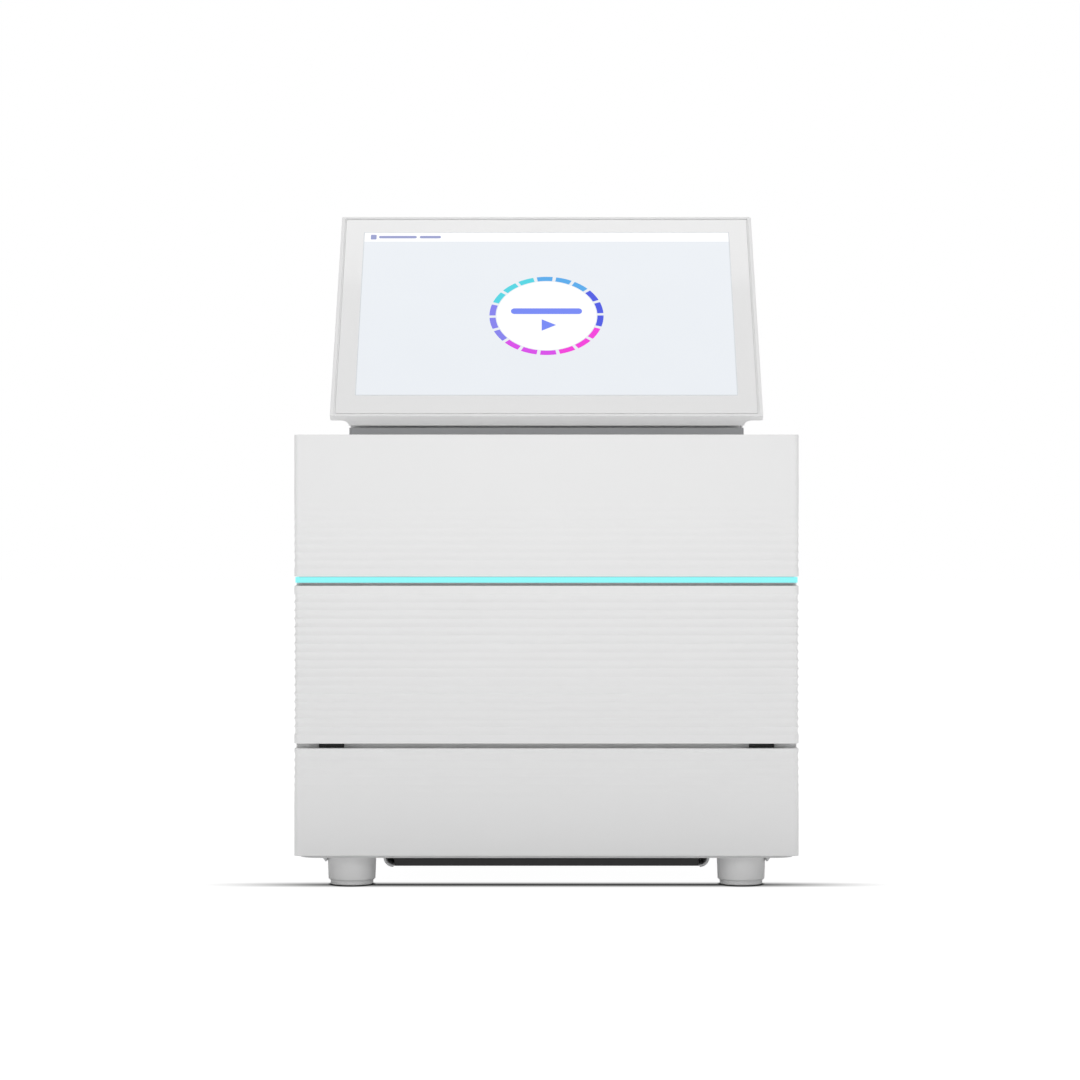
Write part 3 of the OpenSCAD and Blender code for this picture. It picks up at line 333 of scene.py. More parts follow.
# Open-cell filter foam: dark, with pores that show as deep pits
filter_foam = finish("reticulated_foam", "#2B2C2E", roughness=0.95, tone=0.35, tone_mm=2,
                     grain_mm=1.6, grain_height_mm=0.8)
# Zinc-plated sheet steel: bright grey with a faint rolling direction
plated_steel = finish("zinc_plated_steel", "#B9BCBF", metallic=1.0, roughness=0.36, tone=0.06, tone_mm=12,
                      grain_mm=0.5, grain_height_mm=0.004, streaks=(1, 0.06, 1), edge_mm=0.2)
# Ground steel of rails, pins and screws: brighter and tighter highlights
ground_steel = finish("ground_steel", "#C9CBCE", metallic=1.0, roughness=0.2, tone=0.03,
                      grain_mm=0.3, grain_height_mm=0.002, streaks=(1, 0.1, 1), edge_mm=0.15)
# Powder-coated sheet of the base pan: pale grey orange-peel
powder_coat = finish("powder_coated_pan", "#DCDCDC", roughness=0.4, tone=0.01,
                     grain_mm=1.1, grain_height_mm=0.03)
# Machined aluminium of the drive parts and coolers: light, with fine tool marks
machined_aluminium = finish("machined_aluminium", "#D3D5D7", metallic=1.0, roughness=0.3, tone=0.04,
                            tone_mm=8, grain_mm=0.35, grain_height_mm=0.004, streaks=(1, 1, 0.08),
                            edge_mm=0.15)
# Solder mask over glass-fibre board: deep green gloss
solder_mask = finish("green_solder_mask", "#1F5A3C", roughness=0.28, tone=0.15, tone_mm=5,
                     grain_mm=1.2, grain_height_mm=0.01)
# Gold-plated spring contacts: small warm glints in the sockets and the tray
gold_plate = finish("gold_plated_contact", "#E0BE6A", metallic=1.0, roughness=0.24, tone=0.03, tone_mm=2,
                    grain_mm=0.3, grain_height_mm=0.001)
# Nickel-plated pins and socket shells: a cool, slightly worn shine
nickel_plate = finish("nickel_plated_shell", "#C4C4C0", metallic=1.0, roughness=0.28, tone=0.05,
                      tone_mm=4, grain_mm=0.4, grain_height_mm=0.002, edge_mm=0.1)
# Pad-printed ink of the switch signs, grey on pale plastic and pale on black: flat and dull
printed_ink = finish("pad_printed_grey_ink", "#7A7D81", roughness=0.6, tone=0.03, tone_mm=3,
                     grain_mm=0.3, grain_height_mm=0.002)
pale_ink = finish("pad_printed_pale_ink", "#D8DADC", roughness=0.6, tone=0.03, tone_mm=3,
                  grain_mm=0.3, grain_height_mm=0.002)
# Silicone seal round the compartment's mouth: dark, with a soft sheen
seal_rubber = finish("silicone_door_seal", "#2C2D2F", roughness=0.55, tone=0.06, tone_mm=8,
                     grain_mm=0.5, grain_height_mm=0.01)
# Painted sheet round the display panel: dark and half matt, seen only at its edges
panel_dark = finish("display_panel_back", "#38393B", roughness=0.35, tone=0.05)


def glass_finish():
    """Cover glass printed pale grey on its back: a smooth clear face over an even matt colour."""
    made = finish("back_printed_glass", "#EFEFEF", roughness=0.3, tone=0.004, grain_mm=2.0,
                  grain_height_mm=0.0005, edge_mm=0.2, rough_spread=0.02, coat=0.6)
    shader = next(n for n in made.node_tree.nodes if n.type == "BSDF_PRINCIPLED")
    shader.inputs["Coat Roughness"].default_value = 0.06
    return made


def glow(name, colour, tone=0.015, tone_mm=30.0, dark_below=False):
    """Surface that shines by itself, its light slightly uneven, and where wished dark underneath."""
    made = bpy.data.materials.new(name)
    made.use_nodes = True
    tree = made.node_tree
    tree.nodes.clear()
    where = add_node(tree, "ShaderNodeTexCoord").outputs["Object"]
    drift = add_node(tree, "ShaderNodeTexNoise", None,
                     {"Vector": where, "Scale": 1 / (tone_mm * MM), "Detail": DRIFT_DETAIL})
    bright = linear(colour)
    low = tuple(c * (1 - tone) for c in bright[:3]) + (1.0,)
    body = linear(UNLIT_BODY)
    shine = add_node(tree, "ShaderNodeMix", {"data_type": "RGBA"},
                     {"Factor": drift.outputs["Fac"], MIX_A: low, MIX_B: bright}).outputs[MIX_RESULT]
    if dark_below:
        normal = add_node(tree, "ShaderNodeNewGeometry").outputs["Normal"]
        facing = add_node(tree, "ShaderNodeSeparateXYZ", None, {0: normal}).outputs["Z"]
        under = add_node(tree, "ShaderNodeMath", {"operation": "LESS_THAN"}, {0: facing, 1: UNDER_FACE})
        shine = add_node(tree, "ShaderNodeMix", {"data_type": "RGBA"},
                         {"Factor": under.outputs[0], MIX_A: shine, MIX_B: body}).outputs[MIX_RESULT]
    skin = add_node(tree, "ShaderNodeBsdfPrincipled", None,
                    {"Base Color": body, "Roughness": UNLIT_ROUGHNESS,
                     "Specular IOR Level": UNLIT_SPECULAR, "Emission Color": shine,
                     "Emission Strength": 1.0})
    add_node(tree, "ShaderNodeOutputMaterial", None, {"Surface": skin.outputs[0]})
    return made


printed_glass = glass_finish()
# Milky acrylic lit from behind: an even cyan line
lit_acrylic = glow("lit_cyan_acrylic", "#90F9FA", tone_mm=12, dark_below=True)
# Lit liquid-crystal pixels: pale blue-grey field, white bar and disc, grey border, blue and lilac ink
lit_field = glow("lit_field", "#E8ECF1")
lit_white = glow("lit_white", "#FFFFFF", tone=0.003)
lit_rule = glow("lit_rule", "#D3D6DA")
lit_blue = glow("lit_blue", "#6F83F2")
lit_ink = glow("lit_ink", "#959CCB")

FINISHES = {
    shell_white: ["left_cover", "right_cover", "top_cover", "rear_panel", "visor", "lower_front_panel",
                  "door_skin", "monitor_frame", "monitor_back"],
    liner_grey: ["led_strip", "front_frame", "door_inner_panel", "cartridge_tray", "power_button",
                 "filter_rails", "foot_brackets"],
    foot_grey: ["feet"],
    plinth_grey_and_shade: ["monitor_plinth", "monitor_hinges"],
    nylon_black: ["door_hinge_brackets", "filter_tray", "inlet_module", "rocker_switch", "fan_frames",
                  "tray_motor", "tray_nut", "reader_head", "left_fan_rotor", "right_fan_rotor"],
    plastic_dark: ["storage_drive"],
    pad_rubber: ["foot_pads"],
    filter_foam: ["filter_foam"],
    plated_steel: ["left_chassis_plate", "right_chassis_plate", "deck", "upper_shelf", "tray_bridge",
                   "power_supply", "port_block", "door_gearmotor"],
    ground_steel: ["screws", "door_hinge_pins", "tray_rails", "lead_screw", "tray_carriages"],
    powder_coat: ["base_pan"],
    machined_aluminium: ["door_hinge_arms", "door_sector_gear", "door_pinion", "screw_bearings",
                         "shaft_coupling", "thermal_plate", "heat_sink", "pump_drive", "processor_cooler"],
    solder_mask: ["main_board", "side_port_board"],
    printed_glass: ["touch_glass"],
    panel_dark: ["lcd_panel"],
    lit_acrylic: ["light_bar"],
}


def dress_nodes():
    """Gives every carried-over solid its finish."""
    for material, names in FINISHES.items():
        for name in names:
            mesh = nodes[name].data
            mesh.materials.clear()
            mesh.materials.append(material)


dress_nodes()

# ---------- shared modelling ----------

# A face looks a way when its normal follows that way at least this far
FACING = 0.9
CORNER_SEGMENTS = 6
EASE_SEGMENTS = 2
# A socket's shell has its edges eased by this share of its wall
SHELL_EASE = 0.25
# Points closer than this are one, in metres
MERGE = 1e-6


def deselect():
    """Leaves nothing selected and object mode on."""
    if bpy.context.object and bpy.context.object.mode != "OBJECT":
        bpy.ops.object.mode_set(mode="OBJECT")
    bpy.ops.object.select_all(action="DESELECT")


def settle(piece, name, material, body):
    """Applies a piece's place, names it, gives it its finish and lets it ride."""
    deselect()
    bpy.context.view_layer.objects.active = piece
    piece.select_set(True)
    bpy.ops.object.transform_apply(location=True, rotation=True, scale=True)
    piece.name = name
    piece.data.materials.clear()
    piece.data.materials.append(material)
    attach(piece, body)
    deselect()
    return piece


def middle(name):
    """Centre of a node's box, in metres."""
    low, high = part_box(name)
    return (low + high) / 2


def box_mm(name):
    """Lowest and highest corner of a node, in mm."""
    low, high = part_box(name)
    return low / MM, high / MM


def twin(piece):
    """Copy of a piece with a mesh of its own."""
    copy = piece.copy()
    copy.data = piece.data.copy()
    scene.collection.objects.link(copy)
    return copy


def pick_faces(piece, wanted):
    """Enters edit mode with only those faces selected that a test picks by their place or normal."""
    bpy.ops.object.mode_set(mode="EDIT")
    bpy.ops.mesh.select_mode(type="FACE")
    bpy.ops.mesh.select_all(action="DESELECT")
    bpy.ops.object.mode_set(mode="OBJECT")
    for face in piece.data.polygons:
        face.select = wanted(face)
    bpy.ops.object.mode_set(mode="EDIT")


def apply_modifier(piece, modifier):
    """Applies a modifier of a piece, which becomes the active one."""
    bpy.context.view_layer.objects.active = piece
    bpy.ops.object.modifier_apply(modifier=modifier.name)


def ease_edges(piece, radius):
    """Rounds every sharp edge of a piece by a radius in mm."""
    rounding = piece.modifiers.new("eased_edges", "BEVEL")
    rounding.width = radius * MM
    rounding.segments = EASE_SEGMENTS
    rounding.limit_method = "ANGLE"
    apply_modifier(piece, rounding)


def block(low, high, ease=0.0):
    """Box between two corners in mm, its edges eased by a radius in mm."""
    deselect()
    low = Vector(low) * MM
    high = Vector(high) * MM
    bpy.ops.mesh.primitive_cube_add(size=1, location=(low + high) / 2)
    piece = bpy.context.object
    piece.scale = high - low
    bpy.ops.object.transform_apply(location=True, rotation=False, scale=True)
    if ease:
        ease_edges(piece, ease)
    return piece


def sleeve(low, high, out, wall, depth):
    """Thin metal shell of a socket between two corners in mm, open towards out and sunk by a depth."""
    piece = block(low, high)
    pick_faces(piece, lambda face: face.normal.dot(Vector(out)) > FACING)
    bpy.ops.mesh.inset(thickness=wall * MM)
    bpy.ops.mesh.extrude_region_move(TRANSFORM_OT_translate={"value": Vector(out) * (-depth * MM)})
    bpy.ops.object.mode_set(mode="OBJECT")
    ease_edges(piece, wall * SHELL_EASE)
    return piece


def pierce(piece, rim):
    """Opens a flat piece through its middle, leaving a rim of that width in mm."""
    pick_faces(piece, lambda face: abs(face.normal.z) > FACING)
    bpy.ops.mesh.inset(thickness=rim * MM, use_individual=True)
    bpy.ops.mesh.bridge_edge_loops()
    bpy.ops.object.mode_set(mode="OBJECT")
    return piece


def flat_disc(radius, thick, corners):
    """Thin plate drawn up from a circle of that many corners, its back on the plane; sizes in metres."""
    deselect()
    bpy.ops.mesh.primitive_circle_add(vertices=corners, radius=radius, fill_type="NGON")
    piece = bpy.context.object
    bpy.ops.object.mode_set(mode="EDIT")
    bpy.ops.mesh.select_all(action="SELECT")
    bpy.ops.mesh.extrude_region_move(TRANSFORM_OT_translate={"value": (0, 0, thick)})
    bpy.ops.mesh.select_all(action="SELECT")
    bpy.ops.mesh.normals_make_consistent(inside=False)
    bpy.ops.object.mode_set(mode="OBJECT")
    return piece


def flat_panel(width, height, place, thick, corner):
    """Thin plate with rounded corners, its back on the plane; sizes in metres."""
    deselect()
    bpy.ops.mesh.primitive_cube_add(size=1, location=(place[0], place[1], thick / 2))
    piece = bpy.context.object
    piece.scale = (width, height, thick)
    bpy.ops.object.transform_apply(location=False, rotation=False, scale=True)
    bpy.ops.object.mode_set(mode="EDIT")
    bpy.ops.mesh.select_mode(type="EDGE")
    bpy.ops.mesh.select_all(action="DESELECT")
    bpy.ops.object.mode_set(mode="OBJECT")
    for edge in piece.data.edges:
        a, b = (piece.data.vertices[i].co for i in edge.vertices)
        edge.select = abs(a.z - b.z) > thick / 2
    bpy.ops.object.mode_set(mode="EDIT")
    bpy.ops.mesh.bevel(offset=corner, segments=CORNER_SEGMENTS)
    bpy.ops.object.mode_set(mode="OBJECT")
    return piece


def arc_strip(span, inner, outer, thick, steps):
    """Flat strip swept round the middle from the x axis, its back on the plane; sizes in metres."""
    deselect()
    bpy.ops.mesh.primitive_plane_add(size=1, location=((inner + outer) / 2, 0, thick / 2))
    piece = bpy.context.object
    piece.scale = (outer - inner, thick, 1)
    piece.rotation_euler = (math.radians(90), 0, 0)
    bpy.ops.object.transform_apply(location=True, rotation=True, scale=True)
    bpy.ops.object.mode_set(mode="EDIT")
    bpy.ops.mesh.select_all(action="SELECT")
    bpy.ops.mesh.spin(steps=steps, angle=span, center=(0, 0, 0), axis=(0, 0, 1))
    bpy.ops.mesh.select_all(action="SELECT")
    bpy.ops.mesh.remove_doubles(threshold=MERGE)
    bpy.ops.mesh.normals_make_consistent(inside=False)
    bpy.ops.object.mode_set(mode="OBJECT")
    return piece


def lay(piece, place, out, up):
    """Turns a flat piece, modelled round the origin, to look out with its top up, at a place in mm."""
    out = Vector(out).normalized()
    up = Vector(up).normalized()
    turn = Matrix((up.cross(out), up, out)).transposed().to_4x4()
    piece.matrix_world = Matrix.Translation(Vector(place) * MM) @ turn @ piece.matrix_basis
    return piece


# ---------- picture on the display ----------

# Lean of the monitor's face from upright, thickness of its glass, and the display's rise above its middle
TILT = math.radians(43.1)
GLASS_T = 1.5 * MM
DISPLAY_RISE = 1.7 * MM
DISPLAY_W = 240.7 * MM
DISPLAY_H = 153.2 * MM
# Each layer of the picture is a film of this thickness, whose back lies this far off the glass
FILM = 0.04 * MM
LAYER = {
    "border": 0.02 * MM,
    "field": 0.05 * MM,
    "bar": 0.08 * MM,
    "disc": 0.10 * MM,
    "mark": 0.11 * MM,
    "ring": 0.12 * MM,
    "sign": 0.14 * MM,
}
BORDER_W = 0.6 * MM
BORDER_CORNER = 0.6 * MM
FIELD_CORNER = 0.3 * MM
BAR_H = 8.7 * MM
BAR_CORNER = 0.2 * MM
# Mark in the bar: size, rounding and distance of its middle from the left edge
MARK_W = 3.8 * MM
MARK_H = 4.6 * MM
MARK_CORNER = 0.6 * MM
MARK_X = 6.0 * MM
# Placeholder words: height, rounding as a share of it, and each one's place from the left edge and width
WORD_H = 2.4 * MM
WORD_ROUNDING = 0.45
WORDS = ((22.0 * MM, 25.0 * MM), (43.5 * MM, 14.0 * MM))
# Start button: its middle under the display's, the white disc, and the dashed ring round it
DISC_Y = -3.5 * MM
DISC_R = 32.2 * MM
DISC_CORNERS = 96
RING_R = 34.9 * MM
RING_W = 4.0 * MM
RING_PARTS = 18
RING_STEPS = 8
DASH_SHARE = 0.82
RING_COLOURS = ["#3F4FE0", "#4AA6E8", "#43D2E0", "#7F7BEA", "#D63FE6", "#F02BD8"]
# Placeholder word and start arrow on the disc, placed from its middle
CAPTION_W = 46.0 * MM
CAPTION_H = 5.4 * MM
CAPTION_Y = 4.0 * MM
ARROW_R = 6.2 * MM
ARROW_Y = -9.0 * MM
ARROW_CORNERS = 3

UP_SLOPE = Vector((0, math.sin(TILT), math.cos(TILT)))
OUT_OF_SCREEN = Vector((0, -math.cos(TILT), math.sin(TILT)))
SCREEN_MIDDLE = middle("touch_glass") + OUT_OF_SCREEN * (GLASS_T / 2) + UP_SLOPE * DISPLAY_RISE
SCREEN_AXES = Matrix((
    (1, 0, 0, SCREEN_MIDDLE.x),
    (0, UP_SLOPE.y, OUT_OF_SCREEN.y, SCREEN_MIDDLE.y),
    (0, UP_SLOPE.z, OUT_OF_SCREEN.z, SCREEN_MIDDLE.z),
    (0, 0, 0, 1),
))


def on_screen(piece, name, material, layer):
    """Lays a flat piece, modelled round the origin, on the display as one layer of its picture."""
    piece.matrix_world = SCREEN_AXES @ Matrix.Translation((0, 0, LAYER[layer])) @ piece.matrix_basis
    settle(piece, name, material, "monitor")


def draw_page():
    """Pale field with a fine border, and a white bar at its top with a mark and two placeholder words."""
    border = flat_panel(DISPLAY_W + 2 * BORDER_W, DISPLAY_H + 2 * BORDER_W, (0, 0), FILM, BORDER_CORNER)
    on_screen(border, "display_border", lit_rule, "border")
    field = flat_panel(DISPLAY_W, DISPLAY_H, (0, 0), FILM, FIELD_CORNER)
    on_screen(field, "display_field", lit_field, "field")
    left = -DISPLAY_W / 2
    bar_y = DISPLAY_H / 2 - BAR_H / 2
    bar = flat_panel(DISPLAY_W, BAR_H, (0, bar_y), FILM, BAR_CORNER)
    on_screen(bar, "display_top_bar", lit_white, "bar")
    mark = flat_panel(MARK_W, MARK_H, (left + MARK_X, bar_y), FILM, MARK_CORNER)
    on_screen(mark, "display_mark", lit_ink, "mark")
    for i, (place, width) in enumerate(WORDS):
        word = flat_panel(width, WORD_H, (left + place, bar_y), FILM, WORD_H * WORD_ROUNDING)
        on_screen(word, f"display_word_{i + 1}", lit_ink, "mark")


def draw_start_button():
    """White disc with a dashed ring of six colours, a plain start arrow and a placeholder word."""
    disc = flat_disc(DISC_R, FILM, DISC_CORNERS)
    disc.matrix_basis = Matrix.Translation((0, DISC_Y, 0))
    on_screen(disc, "display_disc", lit_white, "disc")
    caption = flat_panel(CAPTION_W, CAPTION_H, (0, DISC_Y + CAPTION_Y), FILM, CAPTION_H * WORD_ROUNDING)
    on_screen(caption, "display_caption", lit_blue, "sign")
    arrow = flat_disc(ARROW_R, FILM, ARROW_CORNERS)
    points_right = Matrix.Rotation(-math.pi / 2, 4, "Z")
    arrow.matrix_basis = Matrix.Translation((0, DISC_Y + ARROW_Y, 0)) @ points_right
    on_screen(arrow, "display_start_arrow", lit_blue, "sign")
    step = 2 * math.pi / RING_PARTS
    dash = arc_strip(step * DASH_SHARE, RING_R - RING_W / 2, RING_R + RING_W / 2, FILM, RING_STEPS)
    lights = [glow(f"lit_ring_{i + 1}", colour) for i, colour in enumerate(RING_COLOURS)]
    for i in range(RING_PARTS):
        part = twin(dash)
        part.matrix_basis = Matrix.Translation((0, DISC_Y, 0)) @ Matrix.Rotation(i * step, 4, "Z")
        on_screen(part, f"display_ring_{i + 1:02d}", lights[i * len(lights) // RING_PARTS], "ring")
    bpy.data.objects.remove(dash)


draw_page()
draw_start_button()

# ---------- screws ----------

# In mm: head radius and height of the rear panel's screws, and the level of the lower two
REAR_HEAD_R = 2.8
REAR_HEAD_H = 1.2
REAR_SCREW_LOW = 30.0
# In mm: head radius and height and shank radius of the screws down into the feet
FOOT_HEAD_R = 3.6
FOOT_HEAD_H = 2.4
FOOT_SHANK_R = 2.0
HEAD_CORNERS = 40
# Hexagon socket: its radius as a share of the head's, its cutter's middle as a share of the head's height
KEY_CORNERS = 6
KEY_SHARE = 0.5
KEY_MIDDLE = 0.9
# Easing of a head's edges as a share of its height
HEAD_EASE = 0.15


def socket_screw(head_r, head_h, shank_r, shank_l):
    """Cap screw with an eased rim, a sunk hexagon and a shank, its head standing on the plane; in mm."""
    deselect()
    bpy.ops.mesh.primitive_cylinder_add(vertices=HEAD_CORNERS, radius=head_r * MM, depth=head_h * MM,
                                        location=(0, 0, head_h * MM / 2))
    screw = bpy.context.object
    bpy.ops.object.transform_apply(location=True, rotation=False, scale=False)
    if shank_l:
        pick_faces(screw, lambda face: face.normal.z < -FACING)
        bpy.ops.mesh.inset(thickness=(head_r - shank_r) * MM)
        bpy.ops.mesh.extrude_region_move(TRANSFORM_OT_translate={"value": (0, 0, -shank_l * MM)})
        bpy.ops.object.mode_set(mode="OBJECT")
    bpy.ops.mesh.primitive_cylinder_add(vertices=KEY_CORNERS, radius=head_r * KEY_SHARE * MM,
                                        depth=head_h * MM, location=(0, 0, head_h * KEY_MIDDLE * MM))
    key = bpy.context.object
    hexagon = screw.modifiers.new("hexagon", "BOOLEAN")
    hexagon.operation = "DIFFERENCE"
    hexagon.object = key
    apply_modifier(screw, hexagon)
    bpy.data.objects.remove(key)
    ease_edges(screw, head_h * HEAD_EASE)
    return screw


def place_screws():
    """Four cap screws on the rear panel's corners and one down into each foot."""
    low, high = box_mm("screws")
    rear = socket_screw(REAR_HEAD_R, REAR_HEAD_H, 0, 0)
    across = high.x - REAR_HEAD_R
    for hand, side in (("left", -1), ("right", 1)):
        for level, z in (("low", REAR_SCREW_LOW), ("high", high.z - REAR_HEAD_R)):
            place = (side * across, high.y - REAR_HEAD_H, z)
            screw = lay(twin(rear), place, (0, 1, 0), (0, 0, 1))
            settle(screw, f"rear_screw_{hand}_{level}", ground_steel, "case")
            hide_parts("screws")
    bpy.data.objects.remove(rear)
    pan_top = box_mm("base_pan")[1].z
    pads = box_mm("foot_pads")[1]
    foot = socket_screw(FOOT_HEAD_R, FOOT_HEAD_H, FOOT_SHANK_R, pan_top - low.z)
    for hand, side in (("left", -1), ("right", 1)):
        for end, way in (("front", -1), ("rear", 1)):
            place = (side * (pads.x - PAD_R), way * (pads.y - PAD_R), pan_top)
            screw = lay(twin(foot), place, (0, 0, 1), (0, 1, 0))
            settle(screw, f"foot_screw_{hand}_{end}", ground_steel, "case")
            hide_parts("screws")
    bpy.data.objects.remove(foot)


place_screws()

# ---------- switches and sockets ----------
# All sizes from here on are in mm. Two numbers in brackets are the ends of a stretch, unless noted.

# Printed ink: its thickness, and how far its back is set off from the plastic's face
INK_T = 0.03
INK_SET = 0.01

# Standby sign on the power button: the ring's radius, half its line, half its opening, steps of its sweep
STANDBY_R = 3.0
STANDBY_HALF_LINE = 0.3
STANDBY_GAP = math.radians(30)
STANDBY_STEPS = 32
# Its stroke: width and length, rise above the ring's middle, rounding
STANDBY_STROKE = (0.6, 2.6)
STANDBY_RISE = 2.2
STANDBY_ROUNDING = 0.28

# Rocker from the side: height of its lower face and how far that falls back, height and rise of the upper
ROCKER_LOWER = (6.8, 1.8)
ROCKER_UPPER = (6.6, 0.4)
# Its signs: width, length and rounding of the stroke; radius, corners and line of the ring
ON_STROKE = (0.7, 3.2)
ON_ROUNDING = 0.2
OFF_R = 1.6
OFF_CORNERS = 40
OFF_LINE = 0.6

# Mains inlet: pitch of the pins and their level under the module's middle
MAINS_PITCH = 7
MAINS_DROP = 9
# A blade: half its width and half its height, depth behind the module's face, easing
MAINS_HALF = (1.1, 2.1)
MAINS_DEPTH = (17.8, 5.8)
MAINS_EASE = 0.5

# Network socket's contacts: number, place of the first from the block's middle, pitch
NET_COUNT = 8
NET_FIRST = -13.6
NET_PITCH = 1.02
# A contact: half its width, levels from the block's middle, depth behind the panel, easing
NET_HALF_W = 0.22
NET_LEVELS = (-6.7, -5.6)
NET_DEPTH = (9.5, 2.4)
NET_EASE = 0.15

# Contacts of any USB socket: number, pitch, half width, easing; and the easing of the tongue below them
USB_COUNT = 4
USB_PITCH = 2.33
USB_HALF_W = 0.5
USB_CONTACT_EASE = 0.08
USB_TONGUE_EASE = 0.3

# Rear USB sockets: level of each one's floor from the block's middle
REAR_USB_FLOORS = (("low", -6), ("high", 0.8))
# Tongue: place across from the block's middle, depth behind the panel, levels above the floor
REAR_TONGUE_X = (4.2, 15.8)
REAR_TONGUE_DEPTH = (11, 2.6)
REAR_TONGUE_Z = (2.4, 4.4)
# First contact: the same
REAR_CONTACT_X = 6.5
REAR_CONTACT_DEPTH = (10, 3.2)
REAR_CONTACT_Z = (2.25, 2.5)

# Side USB sockets: the rear one's place before the board's rear edge, and the distance between the two
SIDE_USB_INSET = 14
SIDE_USB_SPACING = 18
# Shell: place behind the board's outer edge, half its width and half its height, wall, depth of opening
SHELL_X = (-0.05, 14)
SHELL_HALF = (6.75, 3.05)
SHELL_WALL = 0.85
SHELL_DEPTH = 11.5
# Tongue: place behind that edge, half its width, levels from the board's middle
SIDE_TONGUE_X = (1.6, 11.8)
SIDE_TONGUE_HALF_W = 5.2
SIDE_TONGUE_Z = (0.2, 1.9)
# First contact: place behind that edge, place along the socket from its middle, levels
SIDE_CONTACT_X = (2.2, 10)
SIDE_CONTACT_Y = -3.5
SIDE_CONTACT_Z = (0.05, 0.3)


def mark_power_button():
    """Printed standby sign on the power button: an open ring and a stroke."""
    face = middle("power_button") / MM
    face.x = box_mm("power_button")[0].x + INK_SET
    inner = (STANDBY_R - STANDBY_HALF_LINE) * MM
    outer = (STANDBY_R + STANDBY_HALF_LINE) * MM
    arc = arc_strip(2 * (math.pi - STANDBY_GAP), inner, outer, INK_T * MM, STANDBY_STEPS)
    arc.matrix_basis = Matrix.Rotation(math.pi / 2 + STANDBY_GAP, 4, "Z")
    lay(arc, face, (-1, 0, 0), (0, 0, 1))
    settle(arc, "power_sign_ring", printed_ink, "button")
    width, length = STANDBY_STROKE
    middle_at = (0, STANDBY_RISE * MM)
    stroke = flat_panel(width * MM, length * MM, middle_at, INK_T * MM, STANDBY_ROUNDING * MM)
    lay(stroke, face, (-1, 0, 0), (0, 0, 1))
    settle(stroke, "power_sign_stroke", printed_ink, "button")


def mark_rocker():
    """Printed I and O on the two halves of the rocker's face."""
    centre = middle("rocker_switch") / MM
    low, high = box_mm("rocker_switch")
    height, fall = ROCKER_LOWER
    face = (centre.x, high.y - fall / 2 + INK_SET, (low.z + centre.z) / 2)
    width, length = ON_STROKE
    stroke = flat_panel(width * MM, length * MM, (0, 0), INK_T * MM, ON_ROUNDING * MM)
    lay(stroke, face, (0, height, fall), (0, -fall, height))
    settle(stroke, "rocker_sign_on", pale_ink, "rocker")
    waist = high.y - fall
    height, rise = ROCKER_UPPER
    face = (centre.x, waist + rise / 2 + INK_SET, (high.z + centre.z) / 2)
    ring = pierce(flat_disc(OFF_R * MM, INK_T * MM, OFF_CORNERS), OFF_LINE)
    lay(ring, face, (0, height, -rise), (0, rise, height))
    settle(ring, "rocker_sign_off", pale_ink, "rocker")


def sheathe_mains_pins():
    """Nickel-plated blades over the three pins of the mains inlet."""
    low, high = box_mm("inlet_module")
    centre = (low + high) / 2
    half_w, half_h = MAINS_HALF
    inner, outer = (high.y - depth for depth in MAINS_DEPTH)
    z = centre.z - MAINS_DROP
    for name, step in (("left", -1), ("middle", 0), ("right", 1)):
        x = centre.x + step * MAINS_PITCH
        blade = block((x - half_w, inner, z - half_h), (x + half_w, outer, z + half_h), MAINS_EASE)
        settle(blade, f"mains_pin_{name}", nickel_plate, "case")


def contact_row(name, count, low, high, step, ease):
    """Row of gold-plated contacts: the first between two corners, each next one a step further."""
    for i in range(count):
        moved = Vector(step) * i
        contact = block(Vector(low) + moved, Vector(high) + moved, ease)
        settle(contact, f"{name}_{i + 1}", gold_plate, "case")


def fit_rear_sockets():
    """Contacts of the network socket, and a tongue with contacts in each of the two rear USB sockets."""
    low, high = box_mm("port_block")
    centre = (low + high) / 2
    x = centre.x + NET_FIRST
    inner, outer = (high.y - depth for depth in NET_DEPTH)
    bottom, top = (centre.z + level for level in NET_LEVELS)
    contact_row("network_contact", NET_COUNT, (x - NET_HALF_W, inner, bottom),
                (x + NET_HALF_W, outer, top), (NET_PITCH, 0, 0), NET_EASE)
    x = centre.x + REAR_CONTACT_X
    left, right = (centre.x + place for place in REAR_TONGUE_X)
    for name, floor in REAR_USB_FLOORS:
        inner, outer = (high.y - depth for depth in REAR_TONGUE_DEPTH)
        bottom, top = (centre.z + floor + level for level in REAR_TONGUE_Z)
        tongue = block((left, inner, bottom), (right, outer, top), USB_TONGUE_EASE)
        settle(tongue, f"rear_usb_tongue_{name}", nylon_black, "case")
        inner, outer = (high.y - depth for depth in REAR_CONTACT_DEPTH)
        bottom, top = (centre.z + floor + level for level in REAR_CONTACT_Z)
        contact_row(f"rear_usb_contact_{name}", USB_COUNT, (x - USB_HALF_W, inner, bottom),
                    (x + USB_HALF_W, outer, top), (USB_PITCH, 0, 0), USB_CONTACT_EASE)


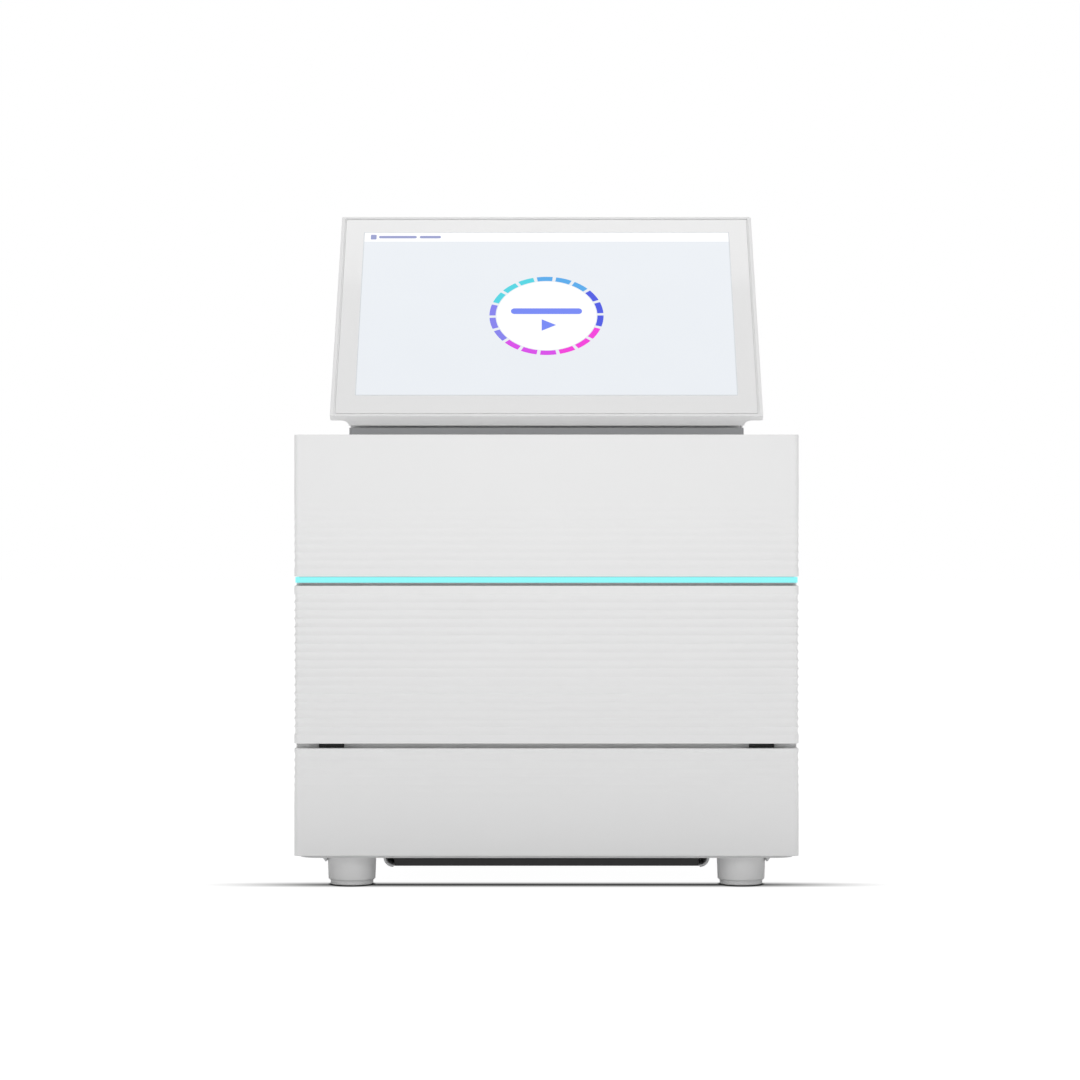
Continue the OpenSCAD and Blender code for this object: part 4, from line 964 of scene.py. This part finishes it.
def fit_side_sockets():
    """Nickel-plated shells, tongues and contacts of the two USB sockets on the left side."""
    low, high = box_mm("side_port_board")
    z = (low.z + high.z) / 2
    rear = high.y - SIDE_USB_INSET
    half_w, half_h = SHELL_HALF
    for name, y in (("front", rear - SIDE_USB_SPACING), ("rear", rear)):
        outer, inner = (low.x + place for place in SHELL_X)
        shell = sleeve((outer, y - half_w, z - half_h), (inner, y + half_w, z + half_h), (-1, 0, 0),
                       SHELL_WALL, SHELL_DEPTH)
        settle(shell, f"side_usb_shell_{name}", nickel_plate, "case")
        outer, inner = (low.x + place for place in SIDE_TONGUE_X)
        bottom, top = (z + level for level in SIDE_TONGUE_Z)
        tongue = block((outer, y - SIDE_TONGUE_HALF_W, bottom), (inner, y + SIDE_TONGUE_HALF_W, top),
                       USB_TONGUE_EASE)
        settle(tongue, f"side_usb_tongue_{name}", nylon_black, "case")
        outer, inner = (low.x + place for place in SIDE_CONTACT_X)
        bottom, top = (z + level for level in SIDE_CONTACT_Z)
        first = y + SIDE_CONTACT_Y
        contact_row(f"side_usb_contact_{name}", USB_COUNT, (outer, first - USB_HALF_W, bottom),
                    (inner, first + USB_HALF_W, top), (0, USB_PITCH, 0), USB_CONTACT_EASE)


mark_power_button()
mark_rocker()
sheathe_mains_pins()
fit_rear_sockets()
fit_side_sockets()

# ---------- compartment ----------

# Mouth of the compartment in the front frame
MOUTH_W = 154.0
MOUTH_LOW = 143.6
MOUTH_HIGH = 178.4
# Seal round it: width and thickness, slack over the mouth, rounding of its corners, easing of its edges
SEAL_W = 2.6
SEAL_T = 1.6
SEAL_SLACK = 0.6
SEAL_CORNER = 4
SEAL_EASE = 0.4
# Spring pins in the cartridge seat: number, pitch, the seat's floor above the tray's lowest point, and
# their place before the tray's rear edge
PIN_COUNT = 8
PIN_PITCH = 3.2
PIN_FLOOR = 2.4
PIN_INSET = 33
# One pin: corners, radius, height and middle of its barrel; how far its tip is set in and rises; easing
PIN_CORNERS = 20
PIN_R = 0.75
PIN_H = 1.0
PIN_MIDDLE = 0.4
TIP_SET_IN = 0.3
TIP_H = 0.8
PIN_EASE = 0.12


def seal_mouth():
    """Silicone seal round the tray's mouth in the front frame, which the closed door's panel faces."""
    width = MOUTH_W + 2 * SEAL_W + SEAL_SLACK
    height = MOUTH_HIGH - MOUTH_LOW + 2 * SEAL_W + SEAL_SLACK
    seal = pierce(flat_panel(width * MM, height * MM, (0, 0), SEAL_T * MM, SEAL_CORNER * MM), SEAL_W)
    ease_edges(seal, SEAL_EASE)
    place = (0, box_mm("front_frame")[0].y, (MOUTH_LOW + MOUTH_HIGH) / 2)
    settle(lay(seal, place, (0, -1, 0), (0, 0, 1)), "compartment_seal", seal_rubber, "case")


def fit_tray_contacts():
    """Row of gold spring pins in the cartridge seat, each a stepped pin with a domed tip."""
    low, high = box_mm("cartridge_tray")
    deselect()
    bpy.ops.mesh.primitive_cylinder_add(vertices=PIN_CORNERS, radius=PIN_R * MM, depth=PIN_H * MM,
                                        location=(0, 0, PIN_MIDDLE * MM))
    pin = bpy.context.object
    bpy.ops.object.transform_apply(location=True, rotation=False, scale=False)
    pick_faces(pin, lambda face: face.normal.z > FACING)
    bpy.ops.mesh.inset(thickness=TIP_SET_IN * MM)
    bpy.ops.mesh.extrude_region_move(TRANSFORM_OT_translate={"value": (0, 0, TIP_H * MM)})
    bpy.ops.object.mode_set(mode="OBJECT")
    ease_edges(pin, PIN_EASE)
    for i in range(PIN_COUNT):
        x = (i - (PIN_COUNT - 1) / 2) * PIN_PITCH
        copy = lay(twin(pin), (x, high.y - PIN_INSET, low.z + PIN_FLOOR), (0, 0, 1), (0, 1, 0))
        settle(copy, f"tray_contact_{i + 1}", gold_plate, "tray")
    bpy.data.objects.remove(pin)


seal_mouth()
fit_tray_contacts()
